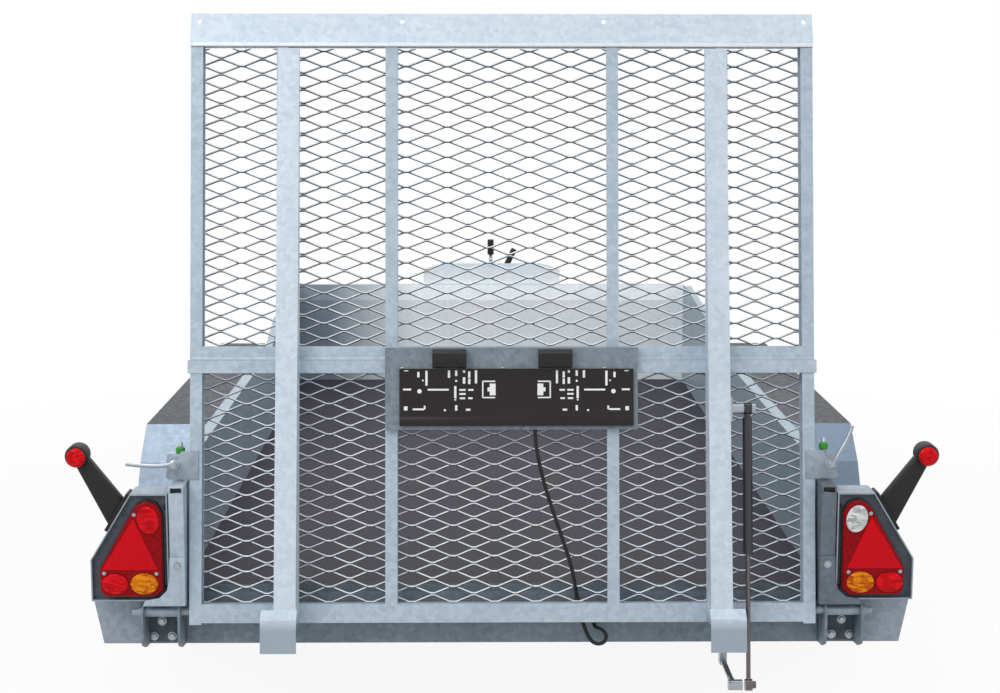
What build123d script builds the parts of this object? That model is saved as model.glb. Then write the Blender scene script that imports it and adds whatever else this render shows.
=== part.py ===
# Plant trailer with two axles, a loading ramp of expanded metal and an overrun drawbar.
# Millimetres. +Y is the way it is towed, +X its right side, +Z up, with the ground at Z 0.
# The pieces are drawn with Y 0 on the ramp's hinge line and moved at the end.
from build123d import *
import os
from math import atan2, cos, degrees, hypot, pi, radians, sin, tan

os.makedirs("parts", exist_ok=True)

# Driving sizes of the bed
bed_half = 715.0          # half the clear width between the side walls
bed_front = 2850.0        # headboard, ahead of the hinge line
frame_rear = 58.0         # rear face of the rear crossmember and of the floor
floor_z, floor_thick = 400.0, 18.0
wall_top, headboard_bend, headboard_top = 660.0, 700.0, 757.0
rest_top, rest_half = 813.0, 255.0
sheet = 3.0               # thickness of the folded sheets
plate = 4.0               # thickness of the heavier plates

# Driving sizes of the ramp, drawn flat: u across, v from the hinge to the toe, w outwards
lean = 10.0               # the closed ramp leans forward by this many degrees
hinge_z = 353.0
ramp_half = 698.0
bar_wide = 27.0           # posts, ribs and middle bars
frame_in, frame_out = -25.0, 15.0
ramp_top = 1272.0         # where the toe plate starts
pin_r = 10.0
mesh_thick, strand = 5.0, 7.0
mesh_long, mesh_short = 139.0, 51.0
beam_x, foot_x = 478.0, 490.0

# Driving sizes of the running gear
axle_ys = {"rear": 975.0, "front": 1640.0}
tyre_r, tyre_wide = 261.0, 156.0
rim_r = 152.0
wheel_x = 806.0
spindle_r = 15.0
arm_long = 150.0          # the trailing arms, from the axle tube back to the spindle
running_gap = 0.1         # round a shaft or pin
mudguard_in, mudguard_out, mudguard_top = 745.0, 893.0, 662.0

# Driving sizes of the front end
rail_x = (480.0, 525.0)
rail_z = (302.0, 382.0)
drawbar_z = (232.0, 302.0)
shaft_z = 352.0
coupling_y, nose_y = 4172.0, 4213.0
jockey_y, jockey_r, trail = 3160.0, 100.0, 45.0

# The strut, from its clevis on the ramp to its anchor under the frame
strut_x = 543.0
strut_top = (452.0, 45.0)     # v and w
strut_foot = (-70.0, 203.0)   # Y and Z

ramp_angle = radians(lean)
ramp_plane = Plane(
    origin=(0, 0, hinge_z), x_dir=(1, 0, 0), z_dir=(0, -cos(ramp_angle), sin(ramp_angle))
)


# Helpers
def block(x0, x1, y0, y1, z0, z1):
    """A box between two corners."""
    return Pos((x0 + x1) / 2, (y0 + y1) / 2, (z0 + z1) / 2) * Box(
        abs(x1 - x0), abs(y1 - y0), abs(z1 - z0)
    )


def outline(points):
    """A face inside a closed outline of straight lines."""
    return make_face(Polyline(*points, close=True))


def folded(points, thick):
    """The outline of a folded sheet: its line and the line beside it, on its left if thick is over 0."""
    beside = []
    for i, (a, b) in enumerate(points):
        before, after = points[max(i - 1, 0)], points[min(i + 1, len(points) - 1)]
        d1 = (a - before[0], b - before[1]) if i else (after[0] - a, after[1] - b)
        d2 = (after[0] - a, after[1] - b) if i < len(points) - 1 else d1
        n1 = (-d1[1] / hypot(*d1), d1[0] / hypot(*d1))
        n2 = (-d2[1] / hypot(*d2), d2[0] / hypot(*d2))
        k = thick / (1 + n1[0] * n2[0] + n1[1] * n2[1])
        beside.append((a + k * (n1[0] + n2[0]), b + k * (n1[1] + n2[1])))
    return list(points) + beside[::-1]


def across(points, x0, x1):
    """A prism of a Y, Z outline between two places across the trailer."""
    return extrude(Plane(origin=(x0, 0, 0), x_dir=(0, 1, 0), z_dir=(1, 0, 0)) * outline(points), x1 - x0)


def along(points, y0, y1):
    """A prism of an X, Z outline between two places along the trailer."""
    return extrude(Plane(origin=(0, y0, 0), x_dir=(1, 0, 0), z_dir=(0, -1, 0)) * outline(points), y0 - y1)


def upright(points, z0, z1):
    """A prism of an X, Y outline between two heights."""
    return Pos(0, 0, z0) * extrude(outline(points), z1 - z0)


def rod(a, b, r, r_end=None):
    """A round bar, or a taper, from one point to another."""
    a, b = Vector(*a), Vector(*b)
    long = (b - a).length
    bar = Cylinder(r, long) if r_end is None else Cone(r, r_end, long)
    return Plane(origin=a, z_dir=b - a).location * (Pos(0, 0, long / 2) * bar)


def tube(a, b, r, bore):
    """A round tube from one point to another."""
    return rod(a, b, r) - rod(a, b, bore)


def bent_rod(points, r):
    """Round bars from point to point, with a ball at each bend."""
    bar = rod(points[0], points[1], r)
    for a, b in zip(points[1:], points[2:]):
        bar += Pos(*a) * Sphere(r) + rod(a, b, r)
    return bar


def hollow_bar(x0, x1, y0, y1, z0, z1, wall):
    """A square tube along Y."""
    return block(x0, x1, y0, y1, z0, z1) - block(x0 + wall, x1 - wall, y0, y1, z0 + wall, z1 - wall)


def on_ramp(shape):
    """Places a shape that was drawn flat, in u, v and w, on the closed ramp."""
    return ramp_plane.location * shape


def mirrored(shape):
    return mirror(shape, about=Plane.YZ)


def faceted_ring(points, count):
    """A ring of flat facets about the X axis, from an outline of X and radius. Flats rest on the ground."""
    turns = [2 * pi * (i + 0.5) / count for i in range(count + 1)]
    out = 1 / cos(pi / count)
    faces = []
    for a0, a1 in zip(turns, turns[1:]):
        for (x0, r0), (x1, r1) in zip(points, points[1:] + points[:1]):
            corners = [(x0, r0, a0), (x1, r1, a0), (x1, r1, a1), (x0, r0, a1)]
            spots = [Vector(x, r * out * sin(a), -r * out * cos(a)) for x, r, a in corners]
            faces.append(Face(Wire.make_polygon(spots, close=True)))
    ring = Solid(Shell(faces))
    return ring if ring.volume > 0 else Solid(Shell([-f for f in faces]))


nodes = {}


def keep(name, *shapes):
    """Joins shapes that overlap or touch into one node."""
    whole = shapes[0]
    for s in shapes[1:]:
        whole = whole + s
    nodes[name] = whole.solids()


def keep_apart(name, *shapes):
    """Keeps shapes that do not touch as separate solids of one node."""
    nodes[name] = [solid for shape in shapes for solid in shape.solids()]


def keep_pair(name, right):
    """Keeps a right-hand piece and its mirror image in one node."""
    keep_apart(name, right, mirrored(right))


# Rear crossmember, a pressed channel with slanting ends that opens forwards
cross_deep = 34.0
cross_low, cross_shoulder = 262.0, 372.0
cross_ends = (903.0, 925.0)
right_edge = [
    (cross_ends[0], cross_low), (cross_ends[1], cross_shoulder),
    (bed_half, cross_shoulder), (bed_half, floor_z - floor_thick),
]
rear_outline = right_edge + [(-x, z) for x, z in right_edge[::-1]]
web = outline(rear_outline)
channel = along(rear_outline, frame_rear, frame_rear + cross_deep)
hollow = offset(web, -plate, kind=Kind.INTERSECTION)
hollow_plane = Plane(origin=(0, frame_rear + plate, 0), x_dir=(1, 0, 0), z_dir=(0, -1, 0))
channel -= extrude(hollow_plane * hollow, -cross_deep)
keep("rear_crossmember", channel)

# Longitudinal rails, box sections from the rear crossmember to the front one
cross_wide = 45.0
front_cross_y = bed_front - 50
rail_start = frame_rear + cross_deep
keep_pair("chassis_rails", hollow_bar(*rail_x, rail_start, front_cross_y, *rail_z, plate))

# Crossmembers, each a channel between the rails and a stub out to either side wall
cross_ys = (560.0, 1240.0, 1960.0, 2460.0)
cross_spans = ((-rail_x[0], rail_x[0]), (rail_x[1], bed_half - 3), (3 - bed_half, -rail_x[1]))
floor_under = floor_z - floor_thick
stubs = []
for y in cross_ys:
    section = folded([(y + cross_wide, 322), (y, 322), (y, floor_under), (y + cross_wide, floor_under)], -plate)
    for x0, x1 in cross_spans:
        stubs.append(across(section, x0, x1))
keep_apart("crossmembers", *stubs)
front_section = folded(
    [(front_cross_y, rail_z[0]), (bed_front, rail_z[0]), (bed_front, floor_under), (front_cross_y, floor_under)],
    plate,
)
keep("front_crossmember", across(front_section, 3 - bed_half, bed_half - 3))

keep("floor", block(-bed_half, bed_half, frame_rear, bed_front, floor_under, floor_z))

# Side walls, folded outwards along the top and inwards under the floor's edge
wall = along(
    folded([(bed_half, floor_under - 30), (bed_half, wall_top), (mudguard_in - 0.5, wall_top)], -sheet),
    rail_start, bed_front,
)
rear_edge = along(
    folded([(bed_half, floor_under), (bed_half, wall_top), (mudguard_in - 0.5, wall_top)], -sheet),
    frame_rear, rail_start,
)
keep_pair("side_walls", wall + rear_edge)

# Headboard, bent forwards near its top, with a fold along the edge
board_line = [
    (bed_front, floor_under), (bed_front, headboard_bend), (bed_front + 10, headboard_top),
    (bed_front + 34, headboard_top),
]
keep("headboard", across(folded(board_line, -sheet), -bed_half, bed_half))

# Gussets, from the headboard's ends down to the side walls
gusset_line = [(1880, wall_top), (2150, 722), (2790, headboard_top), (bed_front, headboard_top), (bed_front, wall_top)]
gusset = across(gusset_line, bed_half, bed_half + sheet)
gusset += across(folded(gusset_line[:3], sheet), bed_half, bed_half + 22)
keep_pair("gussets", gusset)

# Rest for a digger's bucket, a plate above the headboard with a shelf folded forwards
rest_y, shelf_end, shelf_half = bed_front + 36, 3090.0, 190.0
shelf_plan = [
    (-rest_half, rest_y), (rest_half, rest_y), (rest_half, rest_y + 16), (shelf_half, shelf_end),
    (-shelf_half, shelf_end), (-rest_half, rest_y + 16),
]
rest = upright(shelf_plan, rest_top - plate, rest_top)
rest += block(-rest_half, rest_half, rest_y, rest_y + plate, 640, rest_top)
rest += block(-shelf_half, shelf_half, shelf_end - plate, shelf_end, rest_top - 24, rest_top)
for x in (-150, 150):
    rest += block(x - 3, x + 3, bed_front + sheet, rest_y, 640, 699)
    rest += across([(rest_y, 640), (rest_y + 60, 730), (shelf_end - 20, rest_top), (rest_y, rest_top)], x - 3, x + 3)
keep("bucket_rest", rest)

# Mudguards, folded strips over each pair of wheels, with a skirt and a tread strip outside
guard_mid = sum(axle_ys.values()) / 2
guard_half = [(700, mudguard_top), (800, 585), (842, 525), (868, 430), (872, 372)]
guard_line = [(guard_mid - y, z) for y, z in guard_half[::-1]] + [(guard_mid + y, z) for y, z in guard_half]
guard = across(folded(guard_line, -sheet), mudguard_in, mudguard_out)
guard += across(folded(guard_line, -55), mudguard_out - sheet, mudguard_out)
guard += across(folded(guard_line, -25), mudguard_in, mudguard_in + sheet)
keep_pair("mudguards", guard)

# Light boxes at the rear corners, folded sheets round a set-back plate
box_rear, plate_back = -22.0, 12.0
box_line = [(740, 384), (912, 384), (912, 478), (822, 626), (740, 626)]
box_face = outline(box_line)
inside = offset(box_face, -sheet, kind=Kind.INTERSECTION)


def box_slice(face, y0, y1):
    """A prism of a drawn X, Z face between two places along the trailer."""
    return extrude(Plane(origin=(0, y0, 0), x_dir=(1, 0, 0), z_dir=(0, -1, 0)) * face, y0 - y1)


box = box_slice(box_face, box_rear, frame_rear)
box -= box_slice(inside, box_rear, box_rear + plate_back)
box -= box_slice(inside, box_rear + plate_back + sheet, frame_rear)
keep_pair("light_boxes", box)

def on_slant(z):
    """The place on the box's slanting side at a height."""
    return (box_line[2][0] - (z - box_line[2][1]) * 90 / 148, z)


# Lamp clusters: a rounded body, a reflector triangle and three oval lenses
lamp_back, lamp_front = box_rear + plate_back, -36.0
lamp_line = [(770, 394), (903, 394), (903, 476), (824, 606), (784, 612), (768, 596)]
body = along(lamp_line, lamp_front, lamp_back)
body = fillet(body.edges().filter_by(Axis.Y), 8)
lamp = body + along([(780, 447), (895, 447), (834, 560)], lamp_front - 4, lamp_front)
for x, z, wide, high in ((869, 418, 28, 21), (806, 418, 28, 21), (806, 573, 24, 31)):
    lens = Plane(origin=(x, lamp_front, z), x_dir=(1, 0, 0), z_dir=(0, -1, 0)) * Ellipse(wide, high)
    lamp += extrude(lens, 7)
keep_pair("lamp_clusters", lamp)

# Stalk lamps on tapered rubber arms, held by a pad on the box's slanting side
stalk_root, stalk_head = (852.0, 12.0, 570.0), (936.0, 12.0, 706.0)
lamp_head = rod((938, -18, 709), (938, 30, 709), 29)
pad = along(folded([on_slant(524), on_slant(614)], -8), -8, 34)
stalk = pad + (rod(stalk_root, stalk_head, 21, 12) - box_slice(box_face, -40, 60)) + lamp_head
keep_pair("stalk_lamps", stalk)

# Rear corner posts, folded channels with a flared foot
post_x, post_top = (706.0, 738.0), 622.0
post = along(
    [(post_x[0], cross_shoulder), (post_x[1], cross_shoulder), (post_x[1], post_top), (post_x[0], post_top)],
    14, frame_rear,
)
post -= block(post_x[0] + sheet, post_x[1] - sheet, 14 + sheet, frame_rear, cross_shoulder, post_top)
keep_pair("rear_posts", post)

# Hinge brackets: a bolted back plate, two cheeks, a spacer tube and the pin
cheek_x = (713.0, 789.0)
cheek_line = [(frame_rear, 258), (frame_rear, 371), (-14, 371), (-28, 350), (-28, 285), (-10, 258)]
bracket = block(cheek_x[0], cheek_x[1] + 8, frame_rear - 6, frame_rear, 268, 371)
for x in cheek_x:
    bracket += across(cheek_line, x, x + 8)
bracket += rod((cheek_x[0] + 8, 0, hinge_z), (cheek_x[1], 0, hinge_z), 13)
bracket += rod((ramp_half - bar_wide + 4, 0, hinge_z), (821, 0, hinge_z), pin_r)
bracket += rod((cheek_x[1] + 8, 0, hinge_z), (808, 0, hinge_z), 15)
keep_pair("hinge_brackets", bracket)

# Torsion axles: a square tube, trailing arms, drums' backing plates and spindles
tube_z = (232.0, 302.0)
for end, y in axle_ys.items():
    axle = [
        block(-640, 640, y + arm_long - 35, y + arm_long + 35, *tube_z)
        - block(-640, 640, y + arm_long - 30, y + arm_long + 30, tube_z[0] + 5, tube_z[1] - 5)
    ]
    arm_line = [
        (y - 30, 246), (y - 14, 230), (y + arm_long + 38, 229), (y + arm_long + 38, 301),
        (y + arm_long - 12, 301), (y - 16, 293), (y - 30, 278),
    ]
    for s in (-1, 1):
        axle.append(across(arm_line, s * 640, s * 664))
        axle.append(rod((s * 664, y, tyre_r), (s * 712, y, tyre_r), 26))
        axle.append(rod((s * 712, y, tyre_r), (s * 832, y, tyre_r), spindle_r))
        axle.append(rod((s * 704, y, tyre_r), (s * 708, y, tyre_r), 104))
    keep(f"axle_{end}", *axle)

# Drawbar, two box beams that converge under the overrun device
beam_rear, beam_front = (492.0, 1900.0), (66.0, 3740.0)
beam_long = hypot(beam_front[0] - beam_rear[0], beam_front[1] - beam_rear[1])
beam_turn = atan2(beam_rear[0] - beam_front[0], beam_front[1] - beam_rear[1])
beam_wide = 60.0
beam = Box(beam_wide, beam_long, 70) - Box(beam_wide - 8, beam_long, 62)
beam_mid = ((beam_rear[0] + beam_front[0]) / 2, (beam_rear[1] + beam_front[1]) / 2, sum(drawbar_z) / 2)
keep_pair("drawbar_beams", Pos(*beam_mid) * (Rot(0, 0, degrees(beam_turn)) * beam))


def beam_at(y, side):
    """X of the drawbar beam's middle line, or of its inner (-1) or outer (1) face, at a place along."""
    share = (y - beam_rear[1]) / (beam_front[1] - beam_rear[1])
    middle = beam_rear[0] + share * (beam_front[0] - beam_rear[0])
    return middle + side * beam_wide / 2 / cos(beam_turn)


def between_beams(y0, y1, z0, z1, side):
    """A plate from one drawbar beam to the other."""
    right = [(beam_at(y0, side), y0), (beam_at(y1, side), y1)]
    return upright(right + [(-x, y) for x, y in right[::-1]], z0, z1)


# Overrun device: a bolted plate, a housing with a collar, the sliding shaft and its gaiter
housing_y = (3480.0, 3870.0)
housing = between_beams(3460, 3730, drawbar_z[1], drawbar_z[1] + 8, 1)
housing += block(-44, 44, *housing_y, drawbar_z[1] + 8, 394)
housing = chamfer(housing.edges().filter_by(Axis.Y).group_by(Axis.Z)[-1], 12)
housing += rod((0, housing_y[1] - 30, shaft_z), (0, housing_y[1] + 14, shaft_z), 40)
housing -= rod((0, 3560, shaft_z), (0, 3900, shaft_z), 25 + running_gap)
keep("overrun_housing", housing)
keep("drawbar_shaft", rod((0, 3560, shaft_z), (0, 4040, shaft_z), 25))
bellows = [(housing_y[1] + 14 + i * 9.0, 42 - 5 * (i % 2) - i * 0.5) for i in range(14)]
sleeve = [(y, r) for y, r in bellows] + [(bellows[-1][0], 25.2), (bellows[0][0], 25.2)]
keep("gaiter", Rot(0, 0, 90) * faceted_ring([(y, r) for y, r in sleeve], 24).moved(Location((0, 0, 0))))
nodes["gaiter"] = [Pos(0, 0, shaft_z) * s for s in nodes["gaiter"]]

# Coupling head: a sleeve on the shaft, a tapering body over the ball's socket, and a handle
neck_y = bellows[-1][0]
coupling = rod((0, neck_y + 2, shaft_z), (0, 4070, shaft_z), 33)
half_plan = [(30, 4050), (40, 4135), (41, coupling_y), (34, 4198), (17, nose_y)]
coupling += upright(half_plan + [(-x, y) for x, y in half_plan[::-1]], 333, 386)
coupling += across([(4062, 386), (4080, 404), (4140, 404), (4160, 386)], -16, 16)
coupling += across(folded([(4150, 396), (4120, 420), (4040, 436), (3985, 430)], 6), -13, 13)
coupling -= rod((0, neck_y, shaft_z), (0, 4040, shaft_z), 25 + running_gap)
coupling -= rod((0, coupling_y, 320), (0, coupling_y, 352), 25.4)
coupling -= rod((0, coupling_y, 352), (0, coupling_y, 372), 25.4, 12)
keep("coupling_head", coupling)

# Brake lever on the right of the overrun device, up when the brake is on
lever_pivot = (62.0, 3560.0, 366.0)
lever = rod((44.2, 3560, 366), (70, 3560, 366), 22)
lever += bent_rod([lever_pivot, (64, 3548, 560), (64, 3535, 752), (97, 3535, 822)], 7)
lever += rod((64, 3535, 752), (97, 3535, 822), 10)
keep("brake_lever", lever)

# Jockey wheel unit: a bridge over the beams with its clamp, the tube with its crank, the leg, fork and wheel
clamp_z, jockey_top = (310.0, 372.0), 770.0
clamp = between_beams(jockey_y + 52, jockey_y + 112, drawbar_z[1], clamp_z[0], 1)
clamp += block(-26, 26, jockey_y + 32, jockey_y + 84, *clamp_z)
clamp += rod((0, jockey_y, clamp_z[0] + 4), (0, jockey_y, clamp_z[1]), 38)
clamp -= rod((0, jockey_y, 300), (0, jockey_y, 380), 30)
clamp += rod((34, jockey_y, 342), (78, jockey_y, 342), 7) + rod((78, jockey_y - 40, 342), (78, jockey_y + 40, 342), 6)
keep("jockey_clamp", clamp)
outer = tube((0, jockey_y, clamp_z[0] + 2), (0, jockey_y, jockey_top), 30, 25.3)
outer += rod((0, jockey_y, jockey_top), (0, jockey_y, jockey_top + 12), 30, 14)
crank_y = jockey_y + 95
outer += bent_rod([(0, jockey_y, jockey_top + 12), (0, jockey_y, 820), (0, crank_y, 826), (0, crank_y, 850)], 7)
outer += rod((0, crank_y, 832), (0, crank_y, 888), 11)
keep("jockey_tube", outer)
leg_low = 216.0
keep("jockey_leg", rod((0, jockey_y, leg_low), (0, jockey_y, 600), 25))
hub_y = jockey_y - trail
fork = block(-44, 44, jockey_y - 34, jockey_y + 30, 210, 215.7)
cheek = [
    (jockey_y - 34, 215.7), (jockey_y + 30, 215.7), (jockey_y + 24, 190), (hub_y + 20, 86), (hub_y - 20, 86),
    (hub_y - 22, 112),
]
for x in (-44, 38):
    fork += across(cheek, x, x + 6)
fork += rod((-50, hub_y, jockey_r), (50, hub_y, jockey_r), 8)
keep("jockey_fork", fork)
small_half = [(-30, 62), (-32, 88), (-20, jockey_r)]
small_inner = [(30, 26), (30, 8.2), (-30, 8.2), (-30, 26), (-12, 30), (-12, 56)]
small_wheel = small_half + [(-x, r) for x, r in small_half[::-1]] + [(12, 56), (12, 30)] + small_inner
keep("jockey_wheel", Pos(0, hub_y, jockey_r) * faceted_ring(small_wheel, 24))

# Strut anchor, a bar that runs back under the frame from a hanger on the right rail
anchor_x, bar_r = 512.0, 6.5
foot_y, foot_z = strut_foot
bar_z = 196.0
anchor = bent_rod([(anchor_x, foot_y, foot_z), (anchor_x, 0, bar_z), (anchor_x, 130, bar_z)], bar_r)
anchor += block(anchor_x - 8, anchor_x + 8, 114, 144, bar_z - 8, rail_z[0])
anchor += rod((anchor_x - 14, foot_y, foot_z), (anchor_x + 17, foot_y, foot_z), 12)
keep("strut_anchor", anchor)

# Ramp frame: channel posts, angle ribs, two middle bars, and the bars at both ends
def flat_side(points, u0, u1):
    """A prism of a v, w outline between two places across the flat ramp."""
    return across(points, u0, u1)


def flat_front(points, v0, v1):
    """A prism of a u, w outline between two places up the flat ramp."""
    return along(points, v0, v1)


post_line = folded(
    [(ramp_half - bar_wide, frame_in), (ramp_half, frame_in), (ramp_half, frame_out), (ramp_half - bar_wide, frame_out)],
    plate,
)
ramp_foot = -28.0
right_post = flat_front(post_line, ramp_foot, ramp_top)
frame = right_post + mirrored(right_post)
inner_half = ramp_half - bar_wide
low_bar = folded([(-24, frame_in), (-24, frame_out), (18, frame_out), (18, frame_in)], -plate)
frame += flat_side(low_bar, -ramp_half + plate, ramp_half - plate)
rib_line = [(0, 0), (0, -(frame_out - frame_in)), (-plate, -(frame_out - frame_in)), (-plate, -plate),
            (-bar_wide, -plate), (-bar_wide, 0)]
rib_us = (-235.5, 260.0)
outer_rib_u = 506.0
for u in rib_us:
    frame += Pos(u, 0, frame_out) * flat_front(rib_line, 14, ramp_top)
outer_rib = Pos(outer_rib_u, 0, frame_out) * flat_front(rib_line, 14, ramp_top)
frame += outer_rib + mirrored(outer_rib)
upper_bar = folded([(566, frame_in), (566, frame_out), (592, frame_out)], -plate)
lower_bar = folded([(532, frame_in), (532, frame_out + 4), (561, frame_out + 4), (561, frame_in)], -plate)
frame += flat_side(upper_bar, -ramp_half + 1, ramp_half - 1)
middle = flat_side(lower_bar, -703, 703)
frame += middle
frame += block(-ramp_half, ramp_half, ramp_top - plate, ramp_top, frame_in, frame_out)
for s in (-1, 1):
    frame -= rod((s * 660, 0, 0), (s * 720, 0, 0), pin_r + running_gap)
keep("ramp_frame", on_ramp(frame))

# Tapered beams folded to a channel, each with a foot that swings under the rear crossmember
beam_half = 24.0
foot_w = (117.0, 122.0)
beam_top, web_low = 1258.0, (14.0, 98.0)
side = [(-20, frame_out), (beam_top, frame_out), (beam_top, 31), web_low, (-20, web_low[1])]
side_in = [(-30, frame_out - 1), (beam_top - plate, frame_out - 1), (beam_top - plate, 27), (web_low[0], web_low[1] - 4),
           (-30, web_low[1] - 4)]
bearer = flat_side(side, beam_x - beam_half, beam_x + beam_half)
bearer -= flat_side(side_in, beam_x - beam_half + plate, beam_x + beam_half - plate)
bearer -= middle
foot_line = folded([(14, web_low[1]), (-6, foot_w[1]), (-78, foot_w[1])], foot_w[1] - foot_w[0])
foot = flat_side(foot_line, foot_x - 39, foot_x + 39) - flat_side(side, beam_x - beam_half, beam_x + beam_half)
foot += flat_side([(-20, web_low[1]), (-6, web_low[1]), (-6, foot_w[0] + 1), (-20, foot_w[0] + 1)], beam_x - 24, beam_x + 24)
keep_pair("ramp_beams", on_ramp(bearer + foot))

# Toe plate, bent so that it lies flat on the ground, with four holes
toe_bend, toe_long = radians(15.0), 70.0
toe_tip = (ramp_top + 3 + toe_long * cos(toe_bend), frame_out - toe_long * sin(toe_bend))
toe_line = folded([(ramp_top, frame_out), (ramp_top + 3, frame_out), toe_tip], -plate)
toe = flat_side(toe_line, -700, 700)
hole_us = (-681.0, -226.0, 229.0, 681.0)
for u in hole_us:
    toe -= rod((u, ramp_top + 52, -20), (u, ramp_top + 52, 30), 6)
keep("toe_plate", on_ramp(toe))


# Expanded metal: one sheet in two panels, with diamond windows that the border cuts
def mesh_panel(v0, v1, first_row):
    """A panel of the sheet between two places up the ramp."""
    half, border = ramp_half - 8, 3.0
    cut_u, cut_v = mesh_long / 2 - strand * 1.4, mesh_short / 2 - strand * 0.62
    windows = []
    rows = int((v1 - v0) / (mesh_short / 2)) + 2
    columns = int(half / mesh_long) + 1
    for r in range(first_row, first_row + rows):
        v = r * mesh_short / 2
        if v - cut_v < v0 + border or v + cut_v > v1 - border:
            continue
        for c in range(-columns, columns + 1):
            u = c * mesh_long + (mesh_long / 2 if r % 2 else 0)
            if abs(u) + cut_u <= half - border:
                windows.append([(u - cut_u, v), (u, v - cut_v), (u + cut_u, v), (u, v + cut_v)])
            elif abs(u) < half - border - 12:
                s = 1 if u > 0 else -1
                edge = s * (half - border)
                part = cut_v * (1 - abs(edge - u) / cut_u)
                windows.append([(u - s * cut_u, v), (u, v - cut_v), (edge, v - part), (edge, v + part), (u, v + cut_v)])
    rim = Wire.make_polygon([Vector(*p, 0) for p in ((-half, v0), (half, v0), (half, v1), (-half, v1))], close=True)
    holes = [Wire.make_polygon([Vector(*p, 0) for p in w], close=True) for w in windows]
    panel = extrude(Face(rim, holes), mesh_thick)
    low = panel.bounding_box().min.Z
    return Pos(0, 0, frame_in - mesh_thick - low) * panel


split_v = 545.0
cable_notch = block(146, 186, 10, 72, -40, 0)
lower_panel = mesh_panel(16, split_v, 1) - cable_notch
keep_apart("ramp_mesh", on_ramp(lower_panel), on_ramp(mesh_panel(split_v + 1, ramp_top - plate - 1, 22)))

# Number-plate board, a folded tray, with its slotted holder and two lamps
board_u, board_v = (-262.0, 300.0), (406.0, 588.0)
board_w = (frame_out + 4, frame_out + 22)
tray = block(*board_u, *board_v, *board_w) - block(
    board_u[0] + sheet, board_u[1] - sheet, board_v[0] + sheet, board_v[1] - sheet, board_w[0], board_w[1] - sheet
)
tray += block(board_u[0], board_u[0] + 26, *board_v, frame_out, frame_out + 4) - middle
tray += block(board_u[1] - 40, board_u[1], board_v[0], 532, frame_out, frame_out + 4)
keep("plate_board", on_ramp(tray))
holder_u, holder_v = (-234.0, 286.0), (430.0, 541.0)
holder = block(*holder_u, *holder_v, board_w[1], board_w[1] + 7)
holder -= block(holder_u[0] + 6, holder_u[1] - 6, holder_v[0] + 12, holder_v[1] - 5, board_w[1] + 3, board_w[1] + 8)
holder += block(holder_u[0], holder_u[1], holder_v[0], holder_v[0] + 10, board_w[1] + 7, board_w[1] + 12)
slot_table = (  # middle of the slot from the holder's middle, its v, its width and its height
    (60, 512, 14, 22), (60, 472, 14, 16), (108, 520, 46, 5), (108, 498, 5, 20), (140, 486, 5, 30),
    (168, 516, 30, 5), (185, 470, 60, 5), (222, 505, 5, 26),
)
holder_mid = sum(holder_u) / 2
for du, v, wide, high in slot_table:
    for s in (-1, 1):
        u = holder_mid + s * du
        holder -= block(u - wide / 2, u + wide / 2, v - high / 2, v + high / 2, board_w[1] - 1, board_w[1] + 4)
keep("plate_holder", on_ramp(holder))
lamp_side = [(543, board_w[1]), (584, board_w[1]), (584, 52), (574, 66), (556, 66), (545, 58)]
lamps = [on_ramp(flat_side(lamp_side, u - 37.5, u + 37.5)) for u in (-119.0, 116.0)]
keep_apart("plate_lamps", *lamps)

# Latches on the ramp's posts: a bracket, a spindle and a cranked handle, the right one turned up
latch_u, latch_v = 732.0, 342.0
latch_line = [(678, 299), (738, 299), (753, 330), (753, 375), (678, 375)]


def latch(handle):
    """A right-hand latch with its handle through these points."""
    face = Pos(0, 0, frame_out) * extrude(outline(latch_line), plate)
    gusset_side = [(700, frame_out + plate), (700, frame_out + 26), (752, frame_out + plate)]
    fin = extrude(Plane(origin=(0, 304, 0), x_dir=(1, 0, 0), z_dir=(0, -1, 0)) * outline(gusset_side), -4)
    spindle = rod((latch_u, latch_v, frame_out - 14), (latch_u, latch_v, frame_out + 30), 8)
    collar = rod((latch_u, latch_v, frame_out + plate), (latch_u, latch_v, frame_out + 16), 14)
    return face + fin + spindle + collar + bent_rod(handle, 6)


level = [(latch_u, latch_v, 41), (766, 342, 44), (800, 346, 47), (833, 338, 47)]
raised = [(latch_u, latch_v, 41), (744, 366, 44), (770, 392, 47), (778, 414, 47)]
keep_apart("latches", on_ramp(latch(raised)), mirrored(on_ramp(latch(level))))

# Strut clevis: a plate on the right beam's side and the bolt that carries the strut
clevis = block(beam_x + beam_half, beam_x + beam_half + 6, strut_top[0] - 26, strut_top[0] + 26, 20, 62)
clevis += rod((beam_x + beam_half, *strut_top), (strut_x + 15, *strut_top), 8)
clevis += rod((beam_x + beam_half + 6, *strut_top), (strut_x - 9, *strut_top), 12)
clevis += rod((strut_x + 9, *strut_top), (strut_x + 17, *strut_top), 13)
keep("strut_clevis", on_ramp(clevis))

top_place = (ramp_plane.location * Pos(0, *strut_top)).position
strut_long = hypot(top_place.Y - foot_y, top_place.Z - foot_z)
strut_tilt = degrees(atan2(foot_y - top_place.Y, top_place.Z - foot_z))


def on_strut(shape):
    """Places a shape drawn down from the strut's top eye, along -Z, on the closed strut."""
    return Pos(strut_x, top_place.Y, top_place.Z) * (Rot(strut_tilt, 0, 0) * shape)


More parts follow.
